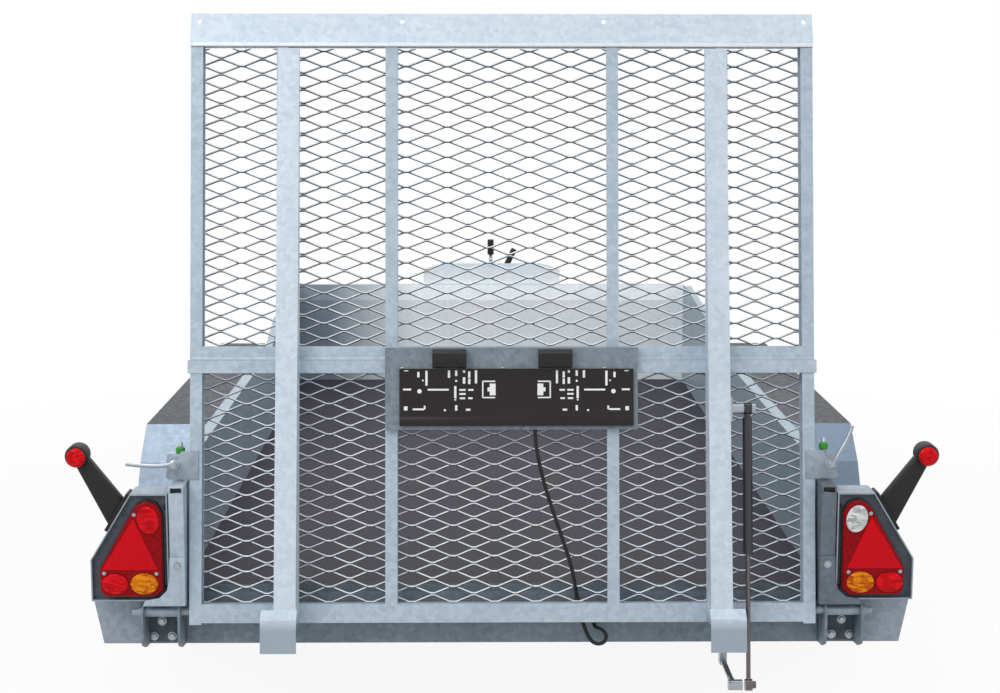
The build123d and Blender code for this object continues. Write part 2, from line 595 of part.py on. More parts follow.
body_start, body_long, body_r, rod_r = 20.0, 303.0, 11.0, 5.0
cylinder = rod((-8, 0, 0), (8, 0, 0), 13) + rod((0, 0, -9), (0, 0, -body_start - 2), 7)
cylinder += rod((0, 0, -body_start), (0, 0, -body_start - body_long), body_r)
cylinder -= rod((-9, 0, 0), (9, 0, 0), 8 + running_gap)
cylinder -= rod((0, 0, -body_start - 8), (0, 0, -body_start - body_long - 1), rod_r + running_gap)
keep("strut_cylinder", on_strut(cylinder))
low_eye = rod((-8, 0, -strut_long), (16, 0, -strut_long), 8) + rod((-8, 0, -strut_long), (8, 0, -strut_long), 13)
shaft = rod((0, 0, -body_start - body_long + 38), (0, 0, -strut_long + 8), rod_r)
keep("strut_rod", on_strut(shaft + low_eye))

# Wheels: a tyre, and a pressed rim with its disc, hub and cap
t = tyre_wide / 2
half_tyre = [(-t + 16, rim_r - 4), (-t + 3, 176), (-t, 206), (-t + 5, 236), (-t + 18, 255), (-t + 34, tyre_r)]
half_bore = [(-t + 34, tyre_r - 14), (-t + 12, 226), (-t + 12, 178), (-t + 24, rim_r - 4)]
tyre_line = half_tyre + [(-x, r) for x, r in half_tyre[::-1]] + [(-x, r) for x, r in half_bore[::-1]] + half_bore
tyre = faceted_ring(tyre_line, 32)
bead = rim_r - 4.3
rim_line = [
    (-t + 8, rim_r + 10), (-t + 14, bead), (-30, bead - 20), (20, bead - 20), (t - 14, bead), (t - 8, rim_r + 10),
    (t - 3, rim_r + 8), (t - 10, bead - 4), (26, bead - 25), (44, 92), (36, 74), (36, 40), (30, 40), (30, 78), (38, 94),
    (18, bead - 25), (-33, bead - 25), (-t + 10, bead - 4), (-t + 3, rim_r + 8),
]
hub_line = [(-84, 36), (34, 36), (34, 42), (40, 42), (64, 34), (64, 4), (34, 4), (34, spindle_r + running_gap),
            (-84, spindle_r + running_gap)]
drum_line = [(-88, 92), (-88, 98), (-40, 98), (-40, 34), (-46, 34), (-46, 92)]
rim = faceted_ring(rim_line, 32)
for i in range(8):
    turn = 2 * pi * i / 8
    rim -= rod((10, 112 * sin(turn), 112 * cos(turn)), (60, 112 * sin(turn), 112 * cos(turn)), 9)
hub = faceted_ring(hub_line, 24)
wheel = rim + hub + faceted_ring(drum_line, 32)
for end, y in axle_ys.items():
    for s, hand in ((-1, "left"), (1, "right")):
        place = Pos(s * wheel_x, y, tyre_r) * Rot(0, 0, 180 if s < 0 else 0)
        keep(f"tyre_{end}_{hand}", place * tyre)
        keep(f"wheel_{end}_{hand}", place * wheel)

# Cable from the number-plate lamps to the frame, in two stretches that part at the hinge
cable_r = 4.25


def cable(points):
    """A tube of straight runs joined by arcs as large as the runs allow."""
    runs = [Vector(*b) - Vector(*a) for a, b in zip(points, points[1:])]
    radii = []
    for a, b in zip(runs, runs[1:]):
        radii.append(0.45 * min(a.length, b.length) / tan(radians(a.get_angle(b)) / 2))
    print("cable radii", [round(x) for x in radii])
    path = FilletPolyline(*points, radius=radii)
    return sweep(Plane(origin=path @ 0, z_dir=path % 0) * RegularPolygon(cable_r, 8), path)


upper_route = [
    (72, 406, 26), (72, 382, 26), (78, 345, 20), (88, 300, 9), (103, 250, -1), (120, 200, -9),
    (137, 150, -14), (152, 105, -16), (161, 65, -20), (166, 36, -33), (169, 14, -40),
]
lower_route = [
    (171, 47, 356), (176, 45, 330), (184, 41, 304), (196, 30, 276), (212, 20, 268), (230, 15, 274),
    (234, 16, 292), (222, 22, 304), (208, 36, 304), (208, 58, 304),
]
keep("cable_upper", on_ramp(cable(upper_route)))
keep("cable_lower", cable(lower_route))

# The origin lies on the ground midway between the feet behind and the coupling's nose
foot_reach = -78 * sin(ramp_angle) - foot_w[1] * cos(ramp_angle)
mid_y = (nose_y + foot_reach) / 2
placed = []
for name, solids in nodes.items():
    moved = [Pos(0, -mid_y, 0) * solid for solid in solids]
    placed += moved
    export_step(moved[0] if len(moved) == 1 else Compound(moved), f"parts/{name}.step")
whole = Compound(placed).bounding_box()
print("mid_y", mid_y, "nodes", len(nodes), "from", whole.min, "to", whole.max)
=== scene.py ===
# %% [markdown]
# # A galvanised plant trailer
# This lesson dresses the imported model of a flat-bed trailer with a loading ramp. The frame gives
# every solid where it belongs, in metres, so no solid has to be placed here. What the lesson adds
# is what the solids leave out: zinc with its spangle, the expanded metal, treads, lenses and bolts.
# The tones and the finer shapes were matched to one photograph by measuring.

# %% Load the frame
from math import cos, pi, radians, sin

import bmesh
import bpy
from mathutils import Euler, Matrix, Vector


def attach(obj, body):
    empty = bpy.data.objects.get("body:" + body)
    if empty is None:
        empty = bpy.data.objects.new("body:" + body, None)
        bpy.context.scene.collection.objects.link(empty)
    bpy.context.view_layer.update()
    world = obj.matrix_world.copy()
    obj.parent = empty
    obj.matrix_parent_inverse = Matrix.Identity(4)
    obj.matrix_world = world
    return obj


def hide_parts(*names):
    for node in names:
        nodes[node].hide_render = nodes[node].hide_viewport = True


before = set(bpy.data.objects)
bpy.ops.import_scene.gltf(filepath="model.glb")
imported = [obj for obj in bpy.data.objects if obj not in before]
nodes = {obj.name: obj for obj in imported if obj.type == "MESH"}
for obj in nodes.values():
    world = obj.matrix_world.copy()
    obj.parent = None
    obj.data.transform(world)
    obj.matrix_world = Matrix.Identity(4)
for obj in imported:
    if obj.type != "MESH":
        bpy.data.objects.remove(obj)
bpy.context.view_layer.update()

# %% [markdown]
# ## Two drawing planes
# The CAD source is in millimetres with its zero on the ramp's hinge line, and the ramp is drawn
# flat: across, up from the hinge, and outwards. Two matrices bring either kind of drawing into
# the model's frame, so each piece below can use the sizes that a maker would read off it.

# %% Places
MM = 0.001
MIDDLE_Y = 2039.654448    # from the hinge line to the middle of the length, in mm
HINGE_Z = 353.0
LEAN = radians(10)        # the closed ramp leans forward
chassis = Matrix.Scale(MM, 4) @ Matrix.Translation((0, -MIDDLE_Y, 0))
ramp_axes = Matrix((
    (1, 0, 0, 0),
    (0, sin(LEAN), -cos(LEAN), 0),
    (0, cos(LEAN), sin(LEAN), HINGE_Z),
    (0, 0, 0, 1),
))
ramp = chassis @ ramp_axes
TOE_V = 1340              # how far up the ramp its toe is, in mm
SIDES = ((-1, "left"), (1, "right"))
print("the ramp's toe stands", round((ramp @ Vector((0, TOE_V, 0))).z, 3), "m high")

# %% [markdown]
# ## Helpers for shapes
# Every piece is a bmesh that starts from a primitive or a few points and is shaped by operators.
# `piece` places the drawing, closes and turns its skin outwards, gives it a finish, and lets it
# ride on a body of the model. `prism` and `turned` are the two starts that a metal shop knows:
# a cut outline with a thickness, and a profile on a lathe.

# %% Shape helpers
def piece(name, bm, body, finish, place=chassis, smooth=False, fix=True):
    """Turns a bmesh drawn in mm into an object that rides on a body."""
    bmesh.ops.transform(bm, matrix=place, verts=bm.verts[:])
    if fix:
        bmesh.ops.remove_doubles(bm, verts=bm.verts[:], dist=0.01 * MM)
        bmesh.ops.recalc_face_normals(bm, faces=bm.faces[:])
    mesh = bpy.data.meshes.new(name)
    bm.to_mesh(mesh)
    bm.free()
    for polygon in mesh.polygons:
        polygon.use_smooth = smooth
    if smooth:
        mesh.set_sharp_from_angle(angle=radians(38))
    mesh.materials.append(finish)
    made = bpy.data.objects.new(name, mesh)
    bpy.context.scene.collection.objects.link(made)
    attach(made, body)
    return made


def verts_of(geom):
    """The vertices among what an operator returns."""
    return [v for v in geom if isinstance(v, bmesh.types.BMVert)]


def prism(bm, outline, thick, place=Matrix()):
    """Adds a plate: an outline in x and y, with its thickness along z."""
    verts = [bm.verts.new((x, y, 0)) for x, y in outline]
    face = bm.faces.new(verts)
    top = verts_of(bmesh.ops.extrude_face_region(bm, geom=[face])["geom"])
    bmesh.ops.translate(bm, vec=(0, 0, thick), verts=top)
    bmesh.ops.transform(bm, matrix=place, verts=verts + top)
    return verts + top


def block(bm, u0, u1, v0, v1, w0, w1):
    """Adds a box between two corners."""
    return prism(bm, [(u0, v0), (u1, v0), (u1, v1), (u0, v1)], w1 - w0,
                 Matrix.Translation((0, 0, w0)))


def turned(bm, profile, steps, place=Matrix()):
    """Adds a turned shape: a profile of radius and height, spun about z."""
    verts = [bm.verts.new((r, 0, z)) for r, z in profile]
    edges = [bm.edges.new(pair) for pair in zip(verts, verts[1:])]
    spun = bmesh.ops.spin(
        bm, geom=verts + edges, cent=(0, 0, 0), axis=(0, 0, 1), dvec=(0, 0, 0),
        angle=2 * pi, steps=steps, use_merge=True, use_duplicate=False,
    )
    ring = set(verts_of(spun["geom_last"])) | set(verts)
    for face in {f for v in ring for f in v.link_faces}:
        ring.update(face.verts)
    whole, edge = set(ring), set(ring)
    while edge:
        edge = {o.other_vert(v) for v in edge for o in v.link_edges} - whole
        whole |= edge
    bmesh.ops.transform(bm, matrix=place, verts=list(whole))


def facing(point, direction, roll=0.0):
    """A place at a point, with z along a direction."""
    turn = Vector(direction).to_track_quat("Z", "Y").to_matrix().to_4x4()
    return Matrix.Translation(point) @ turn @ Matrix.Rotation(roll, 4, "Z")


def bar(bm, start, end, radius, steps=20):
    """Adds a round bar from one point to another."""
    start, end = Vector(start), Vector(end)
    made = bmesh.ops.create_cone(bm, cap_ends=True, segments=steps, radius1=radius, radius2=radius,
                                 depth=(end - start).length)["verts"]
    bmesh.ops.transform(bm, matrix=facing((start + end) / 2, end - start), verts=made)
    return made


def handed(side, place=chassis):
    """The place for a piece that is drawn on the right and stands on side 1 or -1."""
    return place @ Matrix.Diagonal((side, 1, 1, 1))


def soften(bm, verts, size, segments=2):
    """Bevels every sharp edge between some vertices."""
    inside = set(verts)
    edges = [e for e in bm.edges if e.verts[0] in inside and e.verts[1] in inside
             and len(e.link_faces) == 2 and e.calc_face_angle(0) > radians(30)]
    bmesh.ops.bevel(bm, geom=edges, offset=size, segments=segments, affect="EDGES",
                    profile=0.5, material=-1, clamp_overlap=True)


print("edges sharper than 30 degrees are softened")

# %% [markdown]
# ## Helpers for finishes
# A finish is a node tree that ends in a Principled BSDF. Colours are written as sRGB hex, as a
# paint chart gives them, and one function makes them linear. One small function adds a node with
# its settings and its links, and every finish below is only a list of such calls.

# %% Finish helpers
def linear(code):
    """An sRGB hex colour as linear RGBA."""
    parts = [int(code[i:i + 2], 16) / 255 for i in (1, 3, 5)]
    return tuple(c / 12.92 if c <= 0.04045 else ((c + 0.055) / 1.055) ** 2.4 for c in parts) + (1,)


def add(tree, kind, inputs=None, **settings):
    """Adds a node, sets its properties, and sets or links its inputs."""
    made = tree.nodes.new(kind)
    for name, value in settings.items():
        setattr(made, name, value)
    for socket, value in (inputs or {}).items():
        if isinstance(value, bpy.types.NodeSocket):
            tree.links.new(value, made.inputs[socket])
        else:
            made.inputs[socket].default_value = value
    return made


def begin(name):
    """A new material, with its tree, its object coordinates and its shader."""
    material = bpy.data.materials.new(name)
    material.use_nodes = True
    tree = material.node_tree
    tree.nodes.clear()
    shader = add(tree, "ShaderNodeBsdfPrincipled")
    add(tree, "ShaderNodeOutputMaterial", {"Surface": shader.outputs[0]})
    where = add(tree, "ShaderNodeTexCoord").outputs["Object"]
    return material, tree, where, shader


def set_inputs(tree, shader, inputs):
    """Sets or links several inputs of a shader."""
    for socket, value in inputs.items():
        if isinstance(value, bpy.types.NodeSocket):
            tree.links.new(value, shader.inputs[socket])
        else:
            shader.inputs[socket].default_value = value


print("mid grey is", round(linear("#808080")[0], 3), "as linear light")

# %% [markdown]
# ## Hot-dip galvanised steel
# The whole trailer is welded, then dipped in molten zinc. The zinc freezes in crystals, the
# spangle, here 6 to 11 mm across, and each crystal mirrors a little differently. Runs and damp
# stains add soft patches. A Voronoi texture gives the crystals, a noise bends their edges, and
# another gives the patches. They move colour and roughness only a little, because the real
# contrast is low.

# %% Galvanised steel
WANDER, WANDER_BY = 90.0, 0.004     # the crystals' edges wander every 11 mm, by up to 4 mm
STAINS = 7.0                        # stains to a metre, so each is 143 mm across
RIPPLES, RIPPLE_DEEP = 160.0, 0.0008    # a ripple every 6 mm, and the bump's distance in metres


def galvanised(name, bright, dull, crystal_mm=11, rough=(0.42, 0.6), metal=0.3):
    """Zinc whose crystals lie between two greys."""
    material, tree, where, shader = begin(name)
    warp = add(tree, "ShaderNodeTexNoise", {"Vector": where, "Scale": WANDER, "Detail": 2.0})
    near = add(tree, "ShaderNodeVectorMath",
               {0: warp.outputs["Color"], 1: (WANDER_BY,) * 3, 2: where}, operation="MULTIPLY_ADD")
    crystals = add(tree, "ShaderNodeTexVoronoi",
                   {"Vector": near.outputs[0], "Scale": 1 / (crystal_mm * MM)})
    value = add(tree, "ShaderNodeSeparateColor", {"Color": crystals.outputs["Color"]})
    patches = add(tree, "ShaderNodeTexNoise", {"Vector": where, "Scale": STAINS, "Detail": 5.0,
                                               "Roughness": 0.62})
    both = add(tree, "ShaderNodeMix", {0: 0.6, 2: value.outputs[0], 3: patches.outputs[0]})
    colour = add(tree, "ShaderNodeMix", {0: both.outputs[0], 6: linear(dull), 7: linear(bright)},
                 data_type="RGBA")
    gloss = add(tree, "ShaderNodeMapRange", {"Value": value.outputs[1], "To Min": rough[0],
                                             "To Max": rough[1]})
    ripple = add(tree, "ShaderNodeTexNoise", {"Vector": where, "Scale": RIPPLES, "Detail": 3.0})
    bump = add(tree, "ShaderNodeBump", {"Height": ripple.outputs[0], "Strength": 0.10,
                                        "Distance": RIPPLE_DEEP})
    set_inputs(tree, shader, {"Base Color": colour.outputs[2], "Metallic": metal,
                              "Roughness": gloss.outputs[0], "Normal": bump.outputs[0]})
    return material


# new zinc: a pale, cold grey
zinc = galvanised("hot_dip_galvanised_bright", "#dae6f0", "#b6c6d4")
# the same, a tone darker, for the ramp's frame and the drawbar
zinc_frame = galvanised("hot_dip_galvanised_even", "#c3d1de", "#9bacba")
# duller zinc, from light to dark
zinc_mid = galvanised("hot_dip_galvanised_matt", "#a7b3be", "#82909c", rough=(0.45, 0.62))
# darker zinc, as painted shade for the crossmembers, rails, axles and hinge cheeks in the deck's
# shade; the plate board takes it too
zinc_dull = galvanised("hot_dip_galvanised_dull_painted_shade", "#8d99a4", "#67727c", rough=(0.5, 0.68))
# painted shade for the right corner post, on the side away from the key lamp
zinc_painted_shade = galvanised("hot_dip_galvanised_painted_shade", "#737d89", "#555e6a", rough=(0.5, 0.68))
# painted deep shade: the sheet over the lamp boxes' recessed plates, and the hinge plates under the
# deck
zinc_dark = galvanised("hot_dip_galvanised_painted_deep_shade", "#59626b", "#3d454e", rough=(0.55, 0.7))
# sheet from a continuous line: smaller crystals and a smoother look
zinc_sheet = galvanised("continuous_galvanised_sheet", "#a9bac4", "#8496a1", 7, (0.36, 0.5))
# the headboard: near white as painted light on its lit face to the rear
zinc_panel = galvanised("galvanised_panel_painted_light", "#f6fafc", "#dfe8ee", 9, (0.4, 0.55), 0.05)
# the mudguards, bluer than the rest
guard_zinc = galvanised("hot_dip_galvanised_mudguard", "#a6b7c8", "#8798aa", rough=(0.45, 0.6))
# the ramp's lattice: silvery zinc lifted to near white, a painted glint on its cut edges
strand_zinc = galvanised("galvanised_strand_painted_glint", "#f8fafd", "#e2e8ee", 6, (0.4, 0.55), 0.1)
print("galvanised finishes", len(bpy.data.materials))

# %% [markdown]
# ## Painted shade and light
# Some faces take a darker or lighter colour for the light or shade that falls on them: painted
# shade on the right mudguard, which faces away from the key lamp, a painted dark reflection on the
# mudguards' tops, painted light and shade on the headboard, and painted shade on the strands'
# faces that look down. The feet of the ramp's beams are darker too. One function blends in a
# second colour along one axis of the object's own place or normal, so the change of tone stays on
# the metal when the part moves.

# %% Painted shade and light
X, Y, Z = 0, 1, 2


def shade(material, code, coordinate, axis, low, high):
    """Blends in a second colour, as one axis of a coordinate goes from low to high."""
    tree = material.node_tree
    shader = next(n for n in tree.nodes if n.type == "BSDF_PRINCIPLED")
    base = shader.inputs["Base Color"].links[0].from_socket
    where = add(tree, "ShaderNodeTexCoord").outputs[coordinate]
    parts = add(tree, "ShaderNodeSeparateXYZ", {"Vector": where})
    share = add(tree, "ShaderNodeMapRange", {"Value": parts.outputs[axis], "From Min": low,
                                             "From Max": high})
    mixed = add(tree, "ShaderNodeMix", {0: share.outputs[0], 6: base, 7: linear(code)},
                data_type="RGBA")
    set_inputs(tree, shader, {"Base Color": mixed.outputs[2]})


shade(guard_zinc, "#74869a", "Object", X, 0.3, 0.5)        # painted shade: the right mudguard is duller, away from the key lamp
shade(guard_zinc, "#30333b", "Normal", Z, 0.86, 0.95)      # a painted dark reflection on the level tops
shade(zinc, "#9eabb8", "Object", Z, 0.37, 0.345)           # the ramp beams' feet are dull
shade(zinc_panel, "#76838f", "Object", X, -0.28, -0.6)     # painted shadow on the headboard's left end
shade(zinc_panel, "#a3b3be", "Normal", Y, -0.9, -0.6)      # painted light and shade: the face to the rear stays lit near white, the others darker
shade(strand_zinc, "#4f575e", "Normal", Z, 0.1, -0.2)      # painted shade on the faces that look down
print("the mudguards' zinc has", len(guard_zinc.node_tree.nodes), "nodes")

# %% [markdown]
# ## Plated steel and painted steel
# Bolts, the jockey tube and the handles are electroplated: a thin, even, slightly blue zinc that
# shows no crystals. The strut is black enamel on steel with an oily chromed rod, and the wheel
# rims are silver paint with metal flake. The grain of these is too fine to show, and is drawn
# 1 to 5 mm across instead.

# %% Plated and painted steel
UNEVEN = 0.07         # how far the roughness strays to either side
DIM = 0.82            # the darkest patch, as a share of the colour
PATCHES = 14.0        # patches to a metre, so each is 71 mm across
GRAIN_DEEP = 0.0003


def even_metal(name, code, rough, metal, grain=220.0, coat=0.0):
    """Metal with no crystals: so many grains to a metre in its gloss, and soft patches."""
    material, tree, where, shader = begin(name)
    noise = add(tree, "ShaderNodeTexNoise", {"Vector": where, "Scale": grain, "Detail": 4.0})
    spread = add(tree, "ShaderNodeMapRange", {"Value": noise.outputs[0], "To Min": rough - UNEVEN,
                                              "To Max": rough + UNEVEN})
    dark = tuple(c * DIM for c in linear(code)[:3]) + (1,)
    wide = add(tree, "ShaderNodeTexNoise", {"Vector": where, "Scale": PATCHES, "Detail": 3.0})
    colour = add(tree, "ShaderNodeMix", {0: wide.outputs[0], 6: dark, 7: linear(code)},
                 data_type="RGBA")
    bump = add(tree, "ShaderNodeBump", {"Height": noise.outputs[0], "Strength": 0.06,
                                        "Distance": GRAIN_DEEP})
    set_inputs(tree, shader, {"Base Color": colour.outputs[2], "Metallic": metal,
                              "Roughness": spread.outputs[0], "Coat Weight": coat,
                              "Normal": bump.outputs[0]})
    return material


# bright and cool, with soft highlights
plated = even_metal("bright_zinc_plate", "#a9b0b8", 0.3, 0.9)
# brownish under a film of oil
dark_chrome = even_metal("oiled_chrome_rod", "#716a6a", 0.25, 0.9)
# a deep black with a glassy coat
enamel = even_metal("black_stoving_enamel", "#17181c", 0.32, 0.0, coat=0.4)
# a pale silver with a fine glitter
rim_paint = even_metal("silver_wheel_paint", "#c2c6ca", 0.36, 0.6, 900.0, 0.3)
print("finishes so far", len(bpy.data.materials))

# %% [markdown]
# ## Film-faced plywood
# The deck is birch plywood under a dark brown phenolic film, pressed on a wire mesh so that boots
# grip it. What the eye gets is a dull purple-brown with a fine net of raised squares, about 6 mm
# apart, and pale scuffs where tracks and tyres have been.

# %% Deck board
NET = 0.006         # from wire to wire
NET_DEEP = 0.0006
SCUFFS = 5.0        # scuffs to a metre, so each is 200 mm across


def deck_board():
    """Two crossed waves for the net, and a noise for the scuffs."""
    material, tree, where, shader = begin("film_faced_plywood")
    parts = add(tree, "ShaderNodeSeparateXYZ", {"Vector": where})
    waves = []
    for axis in (X, Y):
        turn = add(tree, "ShaderNodeMath", {0: parts.outputs[axis], 1: 2 * pi / NET},
                   operation="MULTIPLY")
        waves.append(add(tree, "ShaderNodeMath", {0: turn.outputs[0]}, operation="SINE"))
    net = add(tree, "ShaderNodeMath", {0: waves[0].outputs[0], 1: waves[1].outputs[0]},
              operation="MAXIMUM")
    scuffs = add(tree, "ShaderNodeTexNoise", {"Vector": where, "Scale": SCUFFS, "Detail": 8.0,
                                              "Roughness": 0.7, "Distortion": 0.6})
    colour = add(tree, "ShaderNodeMix", {0: scuffs.outputs[0], 6: linear("#25222b"),
                                         7: linear("#332f3a")}, data_type="RGBA")
    bump = add(tree, "ShaderNodeBump", {"Height": net.outputs[0], "Strength": 0.35,
                                        "Distance": NET_DEEP})
    set_inputs(tree, shader, {"Base Color": colour.outputs[2], "Roughness": 0.6,
                              "Specular IOR Level": 0.2, "Normal": bump.outputs[0]})
    return material


deck = deck_board()
shade(deck, "#6d787f", "Normal", Y, -0.8, -0.95)      # the rear edge has a steel cap
print("the deck's net has", round(1 / NET), "wires to a metre")

# %% [markdown]
# ## Rubber and plastic
# Tyre rubber is a dusty black with a rough bloom. The stalk arms and the cable's sheath are a
# softer, slightly shiny rubber. The number-plate holder and lamp housings are moulded ABS. The
# grain that the tool leaves is too fine to show, and is drawn 1.4 to 3.3 mm across instead.

# %% Rubber and plastic
DUST = "#8d8a86"
DUST_PATCHES = 12.0     # to a metre, so each is 83 mm across


def moulded(name, code, rough, grain, depth, dust=0.0):
    """A skin with so many grains to a metre, of a depth in metres, and a share of dust."""
    material, tree, where, shader = begin(name)
    noise = add(tree, "ShaderNodeTexNoise", {"Vector": where, "Scale": grain, "Detail": 4.0})
    wide = add(tree, "ShaderNodeTexNoise", {"Vector": where, "Scale": DUST_PATCHES, "Detail": 5.0})
    share = add(tree, "ShaderNodeMath", {0: wide.outputs[0], 1: dust}, operation="MULTIPLY")
    colour = add(tree, "ShaderNodeMix", {0: share.outputs[0], 6: linear(code), 7: linear(DUST)},
                 data_type="RGBA")
    bump = add(tree, "ShaderNodeBump", {"Height": noise.outputs[0], "Strength": 0.25,
                                        "Distance": depth})
    set_inputs(tree, shader, {"Base Color": colour.outputs[2], "Roughness": rough,
                              "Specular IOR Level": 0.3, "Normal": bump.outputs[0]})
    return material


# a rough, dusty black
tyre_rubber = moulded("vulcanised_tyre_rubber", "#1d1d1e", 0.78, 350.0, 0.0004, 0.22)
# a black with a soft sheen
soft_rubber = moulded("moulded_soft_rubber", "#161617", 0.52, 500.0, 0.0002, 0.05)
# a deeper, harder black
black_abs = moulded("grained_black_abs", "#131316", 0.38, 700.0, 0.0002, 0.04)
# a plain leaf green
green_knob = moulded("green_polypropylene_knob", "#3f9a3a", 0.4, 600.0, 0.0002)
# a black with a touch of red
holder_abs = moulded("smoked_black_abs", "#1b1417", 0.34, 600.0, 0.0002, 0.02)
# a flat white, for what shows through the holder's slots
white_sheet = moulded("white_polystyrene_sheet", "#fbfbfb", 0.6, 300.0, 0.0001)
print("finishes so far", len(bpy.data.materials))

# %% [markdown]
# ## Lenses
# The lamps are coloured acrylic with prisms on their inside. A see-through shell would need lamp
# innards, and at this size the eye reads a deep, glossy colour with brighter streaks, where the
# prisms send the light back. A stretched Voronoi pattern gives the streaks, about as wide as a
# prism, and moves both the colour and the bump. The specular level stays low, because a white
# studio would wash the red out.

# %% Lenses
PRISM_DEEP = 0.0006


def lens(name, code, glow, prism_mm, stretch=1.0):
    """Acrylic between two colours, with its prisms stretched sideways into streaks."""
    material, tree, where, shader = begin(name)
    stretched = add(tree, "ShaderNodeMapping", {"Vector": where, "Scale": (1 / stretch, 1.0, 1.0)})
    prisms = add(tree, "ShaderNodeTexVoronoi", {"Vector": stretched.outputs[0],
                                                "Scale": 1 / (prism_mm * MM)})
    light = add(tree, "ShaderNodeSeparateColor", {"Color": prisms.outputs["Color"]})
    colour = add(tree, "ShaderNodeMix", {0: light.outputs[0], 6: linear(code), 7: linear(glow)},
                 data_type="RGBA")
    bump = add(tree, "ShaderNodeBump", {"Height": prisms.outputs["Distance"], "Strength": 0.25,
                                        "Distance": PRISM_DEEP})
    set_inputs(tree, shader, {"Base Color": colour.outputs[2], "Roughness": 0.22,
                              "Coat Weight": 0.04, "Coat Roughness": 0.06,
                              "Specular IOR Level": 0.1, "Normal": bump.outputs[0]})
    return material


# the dark red between the windows
red_body = lens("deep_red_acrylic_body", "#820009", "#a3000c", 5)
# red with brighter streaks
red_lens = lens("red_acrylic_lens", "#b4000d", "#f0101c", 5, 2.4)
# an even red, from small corner cubes
red_reflex = lens("red_corner_cube_reflector", "#cc0014", "#dd0519", 3)
# orange with yellow streaks
amber_lens = lens("amber_acrylic_lens", "#b94400", "#f39a14", 5, 2.4)
# grey and white, over a mirror
clear_lens = lens("clear_acrylic_lens", "#9da0a1", "#f2f3f3", 5, 2.4)
print("finishes so far", len(bpy.data.materials))

# %% [markdown]
# ## Dress the solids
# Most solids have the right shape already, so they only take a finish. The table below gives each
# group of nodes its own, and what isn't listed is bright galvanised steel.

# %% Finishes on the solids
finish_table = (
    (zinc_frame, ("ramp_frame", "drawbar_beams", "jockey_clamp")),
    (guard_zinc, ("mudguards",)),
    (zinc_dull, ("rear_crossmember", "chassis_rails", "crossmembers", "front_crossmember",
                 "axle_rear", "axle_front", "plate_board")),
    (zinc_mid, ("light_boxes",)),
    (zinc_sheet, ("side_walls", "gussets")),
    (zinc_panel, ("headboard", "bucket_rest")),
    (deck, ("floor",)),
    (plated, ("drawbar_shaft", "coupling_head", "brake_lever", "jockey_tube", "jockey_leg",
              "jockey_fork", "strut_anchor", "strut_clevis")),
    (dark_chrome, ("strut_rod",)),
    (enamel, ("strut_cylinder",)),
    (rim_paint, ("wheel_rear_left", "wheel_rear_right", "wheel_front_left", "wheel_front_right")),
    (black_abs, ("plate_lamps",)),
    (soft_rubber, ("gaiter", "jockey_wheel")),
)
finish_of = {node: finish for finish, group in finish_table for node in group}
for name, solid in nodes.items():
    solid.data.materials.clear()
    solid.data.materials.append(finish_of.get(name, zinc))
print("dressed", len(nodes), "solids")

# %% [markdown]
# ## Camera
# The photograph was taken from a person's height behind the trailer with a short telephoto, a
# little to the left of its middle. Its place was worked out from the edges of the bed, which meet
# far ahead, and from the width of the number-plate holder, which is taken as the usual 520 mm.

# %% Camera
EYE = (-62.7, -4004.8, 1549.4)          # across, from the hinge line and above the ground, in mm
DOWN, ROLL, TURN = 8.50, -0.07, -0.78   # in degrees
camera_data = bpy.data.cameras.new("camera")
camera_data.lens = 66.6
camera_data.sensor_width = 36.0
camera = bpy.data.objects.new("camera", camera_data)
camera.location = chassis @ Vector(EYE)
camera.rotation_euler = Euler((radians(90 - DOWN), radians(ROLL), radians(TURN)))
bpy.context.scene.collection.objects.link(camera)
bpy.context.scene.camera = camera
print("camera at", [round(c, 3) for c in camera.location])

# %% [markdown]
# ## Floor
# The studio floor is pale paint, so that it takes the trailer's shadow. The picture has no
# horizon: to the camera and in reflections the floor is nearly white at the trailer, and turns
# fully white a few metres out. As light on the trailer it keeps its own pale grey.

# %% Floor
FLOOR_HALF = 40000                      # in mm
FADE_FROM, FADE_TO = 1.5, 3.5           # how far out the last of its grey goes, in metres
NEAR_WHITE = 0.92                       # how white it is before that


def seen_directly(tree):
    """A socket that is 1 for the camera, reflections and glass, and 0 for light on the object."""
    path = add(tree, "ShaderNodeLightPath").outputs
    seen = add(tree, "ShaderNodeMath", {0: path["Is Camera Ray"], 1: path["Is Glossy Ray"]},
               operation="MAXIMUM")
    return add(tree, "ShaderNodeMath", {0: seen.outputs[0], 1: path["Is Transmission Ray"]},
               operation="MAXIMUM").outputs[0]


studio, tree, where, shader = begin("painted_studio_floor")
grain = add(tree, "ShaderNodeTexNoise", {"Vector": where, "Scale": 3.0, "Detail": 3.0})
tint = add(tree, "ShaderNodeMix", {0: grain.outputs[0], 6: linear("#c9cacb"), 7: linear("#d2d3d4")},
           data_type="RGBA")
set_inputs(tree, shader, {"Base Color": tint.outputs[2], "Roughness": 0.9})
away = add(tree, "ShaderNodeVectorMath", {0: where}, operation="LENGTH")
fade = add(tree, "ShaderNodeMapRange", {"Value": away.outputs["Value"], "From Min": FADE_FROM,
                                        "From Max": FADE_TO, "To Min": NEAR_WHITE, "To Max": 1.0})
share = add(tree, "ShaderNodeMath", {0: seen_directly(tree), 1: fade.outputs[0]},
            operation="MULTIPLY")
white = add(tree, "ShaderNodeEmission", {"Color": (1, 1, 1, 1), "Strength": 1.0})
mixed = add(tree, "ShaderNodeMixShader", {0: share.outputs[0], 1: shader.outputs[0],
                                          2: white.outputs[0]})
add(tree, "ShaderNodeOutputMaterial", {"Surface": mixed.outputs[0]}, is_active_output=True)
bm = bmesh.new()
bmesh.ops.create_grid(bm, x_segments=1, y_segments=1, size=FLOOR_HALF)
bmesh.ops.transform(bm, matrix=Matrix.Scale(MM, 4), verts=bm.verts[:])
